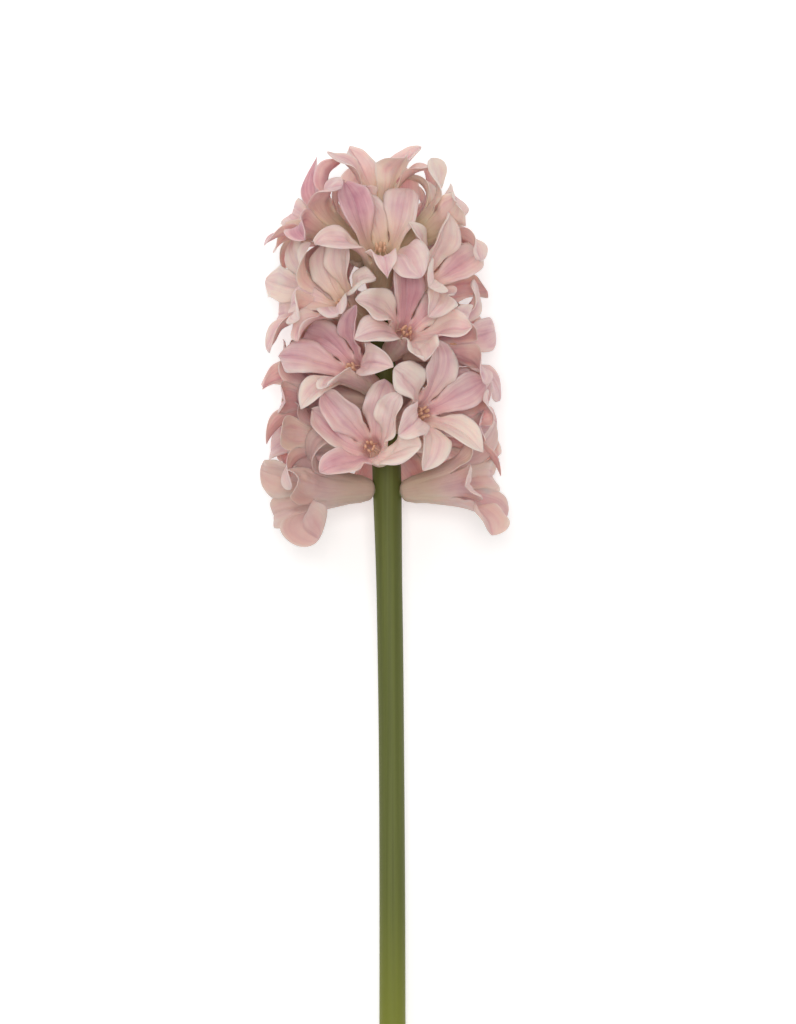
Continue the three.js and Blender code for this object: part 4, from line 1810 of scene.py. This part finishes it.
class SproutTree(GrowthTree):
    """Grows one slim round sprout on every point, along its aim and stretched as the point says."""

    def __init__(self, name: str, profile: Profile) -> None:
        """Builds the tree.

        Args:
            name: The tree's name.
            profile: The sprout's radius along its length, both as shares.
        """
        super().__init__(name)
        rings = self.input("Rings", 12)
        sides = self.input("Sides", 10)
        bow = self.input("Bow", 0.0)
        play = self.input("Play", 0.06)
        seed = self.input("Seed", 1)
        line = self.add("GeometryNodeCurvePrimitiveLine", {"End": (0.0, 0.0, 1.0)})
        spine = self.add("GeometryNodeResampleCurve", {"Curve": line.outputs[0], "Count": rings})
        factor = self.add("GeometryNodeSplineParameter").outputs["Factor"]
        marked = self.keep(spine.outputs[0], "sprout", factor, "POINT")
        outline = self.add("ShaderNodeFloatCurve", {"Value": factor})
        points = outline.mapping.curves[0].points
        points[0].location, points[-1].location = profile[0], profile[-1]
        for point in profile[1:-1]:
            points.new(*point)
        outline.mapping.update()
        sprout = self.sweep(marked, outline.outputs[0], sides)
        turn = self.math("MULTIPLY", self.named("sprout"), math.pi)
        arch = self.math("MULTIPLY", self.math("SINE", turn), bow)
        bowed = self.shift(sprout, self.vector(arch, 0.0, 0.0))
        aim = self.named("aim", "FLOAT_VECTOR")
        aimed = self.add("FunctionNodeAlignRotationToVector", {"Vector": aim}, axis="Z")
        spin = self.add("FunctionNodeAxisAngleToRotation", {"Angle": self.random(0.0, 2 * math.pi, seed)})
        turned = self.add(
            "FunctionNodeRotateRotation",
            {"Rotation": aimed.outputs[0], "Rotate By": spin.outputs[0]},
            rotation_space="LOCAL",
        )
        size = self.random(self.math("SUBTRACT", 1.0, play), self.math("ADD", 1.0, play), seed)
        placed = self.add(
            "GeometryNodeInstanceOnPoints",
            {
                "Points": self.entry.outputs["Geometry"],
                "Instance": bowed,
                "Rotation": turned.outputs[0],
                "Scale": self.scaled(self.named("stretch", "FLOAT_VECTOR"), size),
            },
        )
        self.close(placed.outputs[0])

    def random(self, low: object, high: object, seed: object) -> Socket:
        """A random number for each point.

        Args:
            low: The least that it can be.
            high: The most that it can be.
            seed: The seed.

        Returns:
            The number.
        """
        node = self.add("FunctionNodeRandomValue", data_type="FLOAT")
        wanted = {"Min": low, "Max": high, "Seed": seed}
        for socket in node.inputs:
            if socket.enabled and socket.name in wanted:
                self.feed(socket, wanted[socket.name])
        return node.outputs["Value"]


class RodTree(GrowthTree):
    """Sweeps a round rod along a line of points and raises fine lengthwise ridges on it."""

    def __init__(self) -> None:
        """Builds the tree."""
        super().__init__("swept_rod")
        sides = self.input("Sides", 56)
        depth = self.input("Ridge depth", 0.0001)
        pitch = self.input("Ridges to a metre", 420.0)
        slope = self.input("Slope", 0.0)
        line = self.add("GeometryNodeMeshToCurve", {"Mesh": self.entry.outputs["Geometry"]})
        rod = self.sweep(line.outputs[0], self.named("girth"), sides)
        streak = self.lengthwise(self.add("GeometryNodeInputPosition").outputs[0], slope, pitch, 7.0)
        height = self.math("MULTIPLY", self.math("SUBTRACT", self.noise(streak, 1.0), 0.5), depth)
        normal = self.add("GeometryNodeInputNormal").outputs[0]
        ridged = self.shift(rod, self.scaled(normal, height))
        facing = self.add("ShaderNodeVectorMath", {0: normal, 1: (0.0, -1.0, 0.0)}, operation="DOT_PRODUCT")
        end = self.math("GREATER_THAN", facing.outputs["Value"], 0.9)
        self.close(self.keep(ridged, "cut", end, "FACE"))


@dataclass(frozen=True)
class Sprout:
    """One point to grow a sprout from, in the stem's frame.

    Attributes:
        foot: Where it starts.
        aim: The direction that it grows in.
        girth: Its greatest radius.
        length: Its length.
    """

    foot: Array
    aim: Array
    girth: float
    length: float


def sprout_source(sprouts: Sequence[Sprout], place: LyingPlace) -> Piece:
    """Makes the points that sprouts grow from.

    Args:
        sprouts: The sprouts in the stem's frame.
        place: Where the flower lies.

    Returns:
        An object of bare points with their aim and stretch.
    """
    mesh = bpy.data.meshes.new("sprout_feet")
    feet = place.points(np.array([sprout.foot for sprout in sprouts])) * MM
    mesh.from_pydata(feet.tolist(), [], [])
    aims = place.directions(np.array([sprout.aim for sprout in sprouts]))
    stretch = np.array([[s.girth, s.girth, s.length] for s in sprouts]) * MM
    for name, values in (("aim", aims), ("stretch", stretch)):
        attribute = mesh.attributes.new(name, "FLOAT_VECTOR", "POINT")
        attribute.data.foreach_set("vector", values.astype(np.float32).ravel())
    return linked("sprout_feet", mesh)


@dataclass
class Stem:
    """The bare flower stem with the pedicels that carry the florets.

    Attributes:
        line: Its centre line.
        place: Where the flower lies.
        florets: The florets that it carries.
        step: The height from ring to ring.
        cut_bevel: How far the edge of the cut is broken.
        top_rounding: Heights near the top with the share of the radius at each.
        ridge_depth: How deep its lengthwise ridges are.
        root_radius: The radius of a pedicel at both ends.
        foot_out: How far its foot is from the stem's centre line.
        pedicel_profile: Its radius along its length, both as shares.
    """

    line: StemLine
    place: LyingPlace
    florets: Sequence[Floret]
    step: float = 1.6
    cut_bevel: float = 0.3
    top_rounding: Profile = ((0.7, 0.92), (1.3, 0.7), (1.7, 0.4), (1.85, 0.1))
    ridge_depth: float = 0.22
    root_radius: float = 1.9
    foot_out: float = 1.6
    pedicel_profile: Profile = ((0.0, 1.0), (0.3, 0.98), (0.55, 0.72), (0.8, 0.8), (1.0, 1.0))

    def stations(self) -> list[Pair]:
        """The rings of the stem, from the cut end to the rounded top.

        Returns:
            The height and the radius of each.
        """
        line = self.line
        bare = [(0.0, line.radius(0) - self.cut_bevel), (self.cut_bevel, line.radius(0))]
        heights = np.arange(self.step, line.length - self.step / 2, self.step).tolist()
        bare += [(height, line.radius(height)) for height in heights]
        top = line.length - self.top_rounding[-1][0]
        bare = [(height, radius) for height, radius in bare if height < top]
        widest = line.radius(top)
        return bare + [(top + rise, widest * share) for rise, share in self.top_rounding]

    def source(self) -> Piece:
        """Makes the line of points that the stem is swept along.

        Returns:
            An object of joined points with the radius at each.
        """
        stations = self.stations()
        points = np.array([[self.line.aside(height), height, 0.0] for height, _ in stations])
        mesh = bpy.data.meshes.new("stem_line")
        edges = [(index, index + 1) for index in range(len(stations) - 1)]
        mesh.from_pydata((self.place.points(points) * MM).tolist(), edges, [])
        girth = mesh.attributes.new("girth", "FLOAT", "POINT")
        girth.data.foreach_set("value", [radius * MM for _, radius in stations])
        return linked("stem_line", mesh)

    def build(self, material: Material) -> list[Piece]:
        """Builds the stem, pressed flat where it would reach under the floor, and its pedicels.

        Args:
            material: The stem's finish.

        Returns:
            The two pieces.
        """
        depth, slope = self.ridge_depth * MM, math.tan(self.place.tilt)
        values = {"Finish": material, "Sides": 56, "Ridge depth": depth, "Slope": slope}
        rod = RodTree().grow("flower_stem", self.source(), values)
        for vertex in rod.data.vertices:
            vertex.co.z = max(vertex.co.z, 0.0)
        feet = sprout_source([self.pedicel(floret) for floret in self.florets], self.place)
        values = {"Finish": material, "Rings": 12, "Sides": 16, "Bow": 0.0, "Play": 0.04, "Seed": 5}
        return [rod, SproutTree("pedicel_sprouts", self.pedicel_profile).grow("pedicels", feet, values)]

    def pedicel(self, floret: Floret) -> Sprout:
        """The pedicel of one floret, from inside the stem to the floret's seat."""
        axis, reach = floret.axes[:, 2], floret.form.seat_radius - self.foot_out
        return Sprout(floret.seat - reach * axis, axis, self.root_radius, reach)


@dataclass(frozen=True)
class Organ:
    """What all organs of one kind share.

    Attributes:
        name: The kind.
        profile: Its radius along its length, both as shares.
        skin: Its finish.
        rings: Rings along it.
        sides: Corners round it.
        bow: How far it bows to one side, against its radius.
        seed: Seeds how each one is turned and how large it is.
    """

    name: str
    profile: Profile
    skin: GrainFinish
    rings: int
    sides: int
    bow: float
    seed: int

    def grow(self, sprouts: Sequence[Sprout], place: LyingPlace) -> Piece:
        """Grows one on every sprout.

        Args:
            sprouts: The sprouts in the stem's frame.
            place: Where the flower lies.

        Returns:
            The piece that holds them all.
        """
        values = {"Rings": self.rings, "Sides": self.sides, "Bow": self.bow, "Seed": self.seed}
        values["Finish"] = self.skin.material()
        tree = SproutTree(f"{self.name}_sprouts", self.profile)
        return tree.grow(f"{self.name}s", sprout_source(sprouts, place), values)


FILAMENT = Organ(
    "filament", ((0.0, 1.0), (0.6, 0.7), (1.0, 0.5)),
    GrainFinish("filament_skin", "#f0dcc4", "#e8b8a4", 900.0, 0.5), 7, 7, 1.4, 11,
)
ANTHER = Organ(
    "anther", ((0.0, 0.25), (0.12, 0.85), (0.5, 1.0), (0.88, 0.85), (1.0, 0.2)),
    GrainFinish("anther_pollen", "#dba886", "#efcfb2", 5200.0, 0.8), 8, 8, 0.3, 12,
)
PISTIL = Organ(
    "pistil", ((0.0, 0.55), (0.16, 1.0), (0.36, 0.55), (0.46, 0.26), (0.9, 0.2), (0.96, 0.34), (1.0, 0.1)),
    GrainFinish("pistil_skin", "#d2c4a0", "#e6d3ba", 1200.0, 0.45), 18, 12, 0.0, 13,
)


@dataclass
class FloretHearts:
    """The stamens and pistils in the mouths of the florets.

    Attributes:
        florets: The florets that hold them.
        place: Where the flower lies.
        filament_foot: From the floret's axis and its seat to a filament's foot.
        filament_tip: The same for its tip.
        filament_girth: Its radius.
        filament_turn: Degrees that it may stand aside of its lobe.
        reach_play: The chance in how far it reaches out.
        anther_length: The length of an anther.
        anther_girth: The radius of each of its two halves.
        anther_sunk: The share of it that lies below the filament's tip.
        lean_play: The chance in how it leans out.
        theca_gap: From one half to the other.
        pistil_foot: From the floret's seat to a pistil's foot.
        pistil_length: Its length.
        pistil_girth: Its greatest radius.
        seed: Seeds the chance in all this.
    """

    florets: Sequence[Floret]
    place: LyingPlace
    filament_foot: Pair = (3.4, 8.5)
    filament_tip: Pair = (1.2, 13.6)
    filament_girth: float = 0.24
    filament_turn: float = 10
    reach_play: Pair = (-1.0, 0.9)
    anther_length: float = 2.3
    anther_girth: float = 0.4
    anther_sunk: float = 0.35
    lean_play: Pair = (-0.15, 0.35)
    theca_gap: float = 0.26
    pistil_foot: float = 2.6
    pistil_length: float = 8.4
    pistil_girth: float = 1.5
    seed: int = 4021

    def stamens(self) -> tuple[list[Sprout], list[Sprout]]:
        """Places the stamens of all florets, one before each lobe.

        Returns:
            The filaments, and the two halves of each anther.
        """
        filaments, anthers = [], []
        draws = SeededDraws(self.seed)
        for floret in self.florets:
            up, size = floret.axes[:, 2], floret.plan.size
            for pose in floret.poses:
                aside = draws.between(-self.filament_turn, self.filament_turn)
                angle = pose.slot + math.radians(aside)
                out = floret.axes @ np.array([math.cos(angle), math.sin(angle), 0.0])
                foot = floret.seat + size * (self.filament_foot[0] * out + self.filament_foot[1] * up)
                reach = self.filament_tip[1] + floret.plan.reach + draws.between(*self.reach_play)
                tip = floret.seat + size * (self.filament_tip[0] * out + reach * up)
                length = float(np.linalg.norm(tip - foot))
                filaments.append(Sprout(foot, (tip - foot) / length, self.filament_girth, length))
                lean = up + draws.between(*self.lean_play) * out
                lean /= np.linalg.norm(lean)
                start = tip - lean * self.anther_length * self.anther_sunk
                for side in (-0.5, 0.5):
                    half = start + np.cross(lean, out) * side * self.theca_gap
                    anthers.append(Sprout(half, lean, self.anther_girth, self.anther_length))
        return filaments, anthers

    def pistil(self, floret: Floret) -> Sprout:
        """The ovary and style of a floret."""
        foot = floret.seat + floret.plan.size * self.pistil_foot * floret.axes[:, 2]
        return Sprout(foot, floret.axes[:, 2], self.pistil_girth, self.pistil_length)

    def build(self) -> list[Piece]:
        """Builds the filaments, the anthers and the pistils.

        Returns:
            The three pieces.
        """
        filaments, anthers = self.stamens()
        pistils = [self.pistil(floret) for floret in self.florets]
        kinds = ((FILAMENT, filaments), (ANTHER, anthers), (PISTIL, pistils))
        return [organ.grow(sprouts, self.place) for organ, sprouts in kinds]


@dataclass
class Flower:
    """The whole cut hyacinth.

    Attributes:
        line: The stem's centre line.
        form: The form of all florets.
        spike: How the florets stand on the stem.
    """

    line: StemLine = field(default_factory=StemLine)
    form: PerianthForm = field(default_factory=PerianthForm)
    spike: Spike = field(default_factory=Spike)

    def __post_init__(self) -> None:
        """Finds where the flower lies and how its florets are bent."""
        self.place = LyingPlace(self.line)
        self.florets = [
            Floret(index + 1, plan, self.form, self.line, self.place)
            for index, plan in enumerate(self.spike.plans(self.form.lobes))
        ]
        Clearing(self.florets).run()

    def build(self) -> None:
        """Builds and dresses every piece and ties it to the frame."""
        petal_skin = PetalFinish().material()
        for floret in self.florets:
            self.tie(floret.build(petal_skin), Slot.PETAL, floret.node)
            log.info("%s met within %.3f mm", floret.node, floret.mismatch)
        for piece in Stem(self.line, self.place, self.florets).build(StemFinish().material(self.place)):
            self.tie(piece, Slot.STEM, "stem")
        for piece in FloretHearts(self.florets, self.place).build():
            self.tie(piece, Slot.PETAL)

    @staticmethod
    def tie(piece: Piece, slot: Slot, *nodes: str) -> None:
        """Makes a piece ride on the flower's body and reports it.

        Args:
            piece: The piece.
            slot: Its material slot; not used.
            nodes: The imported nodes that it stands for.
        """
        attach(piece, BODY)
        if nodes:
            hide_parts(*nodes)
        log.info("%s: %d faces", piece.name, len(piece.data.polygons))


@dataclass(frozen=True)
class Studio:
    """A pale floor, soft light and a camera that looks square down on the stem.

    Attributes:
        place: Where the flower lies.
        distance: From the stem to the camera.
        field_height: How much of the stem's length the picture takes in.
        aim_height: The height on the stem at the picture's middle.
        aim_aside: How far that is to the right of the stem.
        sensor: The camera's sensor.
        floor_size: The side of the floor.
        floor_glow: How strongly it shines by itself.
        floor_colour: Its colour.
        sky: The strength of the light from all round.
        sky_colour: The colour of that light.
        lamps: The name, place, side and power in watts of each lamp.
    """

    place: LyingPlace
    distance: float = 1100
    field_height: float = 307.2
    aim_height: float = 188.6
    aim_aside: float = 1.65
    sensor: float = 36
    floor_size: float = 12000
    floor_glow: float = 0.38
    floor_colour: str = "#f7f6f5"
    sky: float = 0.45
    sky_colour: str = "#fdfcfc"
    lamps: tuple[tuple[str, Triple, float, float], ...] = (
        ("window", (-380, 640, 1150), 800, 3.2), ("fill", (20, -60, 1500), 400, 7.8),
    )

    def build(self) -> None:
        """Builds the floor, the lights and the camera."""
        self.add_floor()
        self.add_sky()
        for lamp in self.lamps:
            self.add_lamp(*lamp)
        self.add_camera()

    def add_floor(self) -> None:
        """Lays a plain pale floor, which shines faintly by itself, under the flower."""
        half = self.floor_size / 2 * MM
        corners = [(-half, -half, 0), (half, -half, 0), (half, half, 0), (-half, half, 0)]
        mesh = bpy.data.meshes.new("floor")
        mesh.from_pydata(corners, [], [(0, 1, 2, 3)])
        floor = linked("floor", mesh)
        shader = Shader("floor_paper")
        paper = shade(self.floor_colour)
        shader.set(Base_Color=paper, Roughness=0.9, Specular_IOR_Level=0.1)
        shader.set(Emission_Color=paper, Emission_Strength=self.floor_glow)
        mesh.materials.append(shader.material)

    def add_sky(self) -> None:
        """Surrounds the scene with even soft light."""
        world = bpy.data.worlds.new("soft_light")
        world.use_nodes = True
        background = world.node_tree.nodes["Background"]
        background.inputs["Color"].default_value = shade(self.sky_colour)
        background.inputs["Strength"].default_value = self.sky
        bpy.context.scene.world = world

    def add_lamp(self, name: str, position: Triple, size: float, power: float) -> None:
        """Hangs a square lamp and turns it to the spike.

        Args:
            name: Its name.
            position: Where it hangs.
            size: Its side.
            power: Its power in watts.
        """
        data = bpy.data.lights.new(name, "AREA")
        data.size, data.energy = size * MM, power
        away = np.array(position) - self.place.points(np.array([0.0, self.aim_height, 0.0]))
        lamp = linked(name, data)
        lamp.location = (np.array(position) * MM).tolist()
        lamp.rotation_mode = "QUATERNION"
        lamp.rotation_quaternion = Vector(away.tolist()).to_track_quat("Z", "Y")

    def add_camera(self) -> None:
        """Looks square down on the stem, with its tip upwards in the picture."""
        data = bpy.data.cameras.new("view")
        data.sensor_width = self.sensor
        data.lens = self.sensor / 2 / (self.field_height / 2 / self.distance)
        camera = linked("view", data)
        spot = self.place.points(np.array([self.aim_aside, self.aim_height, self.distance]))
        turn = Matrix.Rotation(self.place.tilt, 4, "X")
        camera.matrix_world = Matrix.Translation((spot * MM).tolist()) @ turn
        bpy.context.scene.camera = camera
        bpy.context.scene.view_settings.view_transform = "Standard"


def write_sizes() -> None:
    """Updates the view layer.
    """
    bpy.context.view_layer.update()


def main() -> None:
    """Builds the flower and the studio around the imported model."""
    logging.basicConfig(level=logging.INFO, format="%(message)s")
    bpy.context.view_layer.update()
    flower = Flower()
    flower.build()
    Studio(flower.place).build()
    write_sizes()


if __name__ == "__main__":
    main()
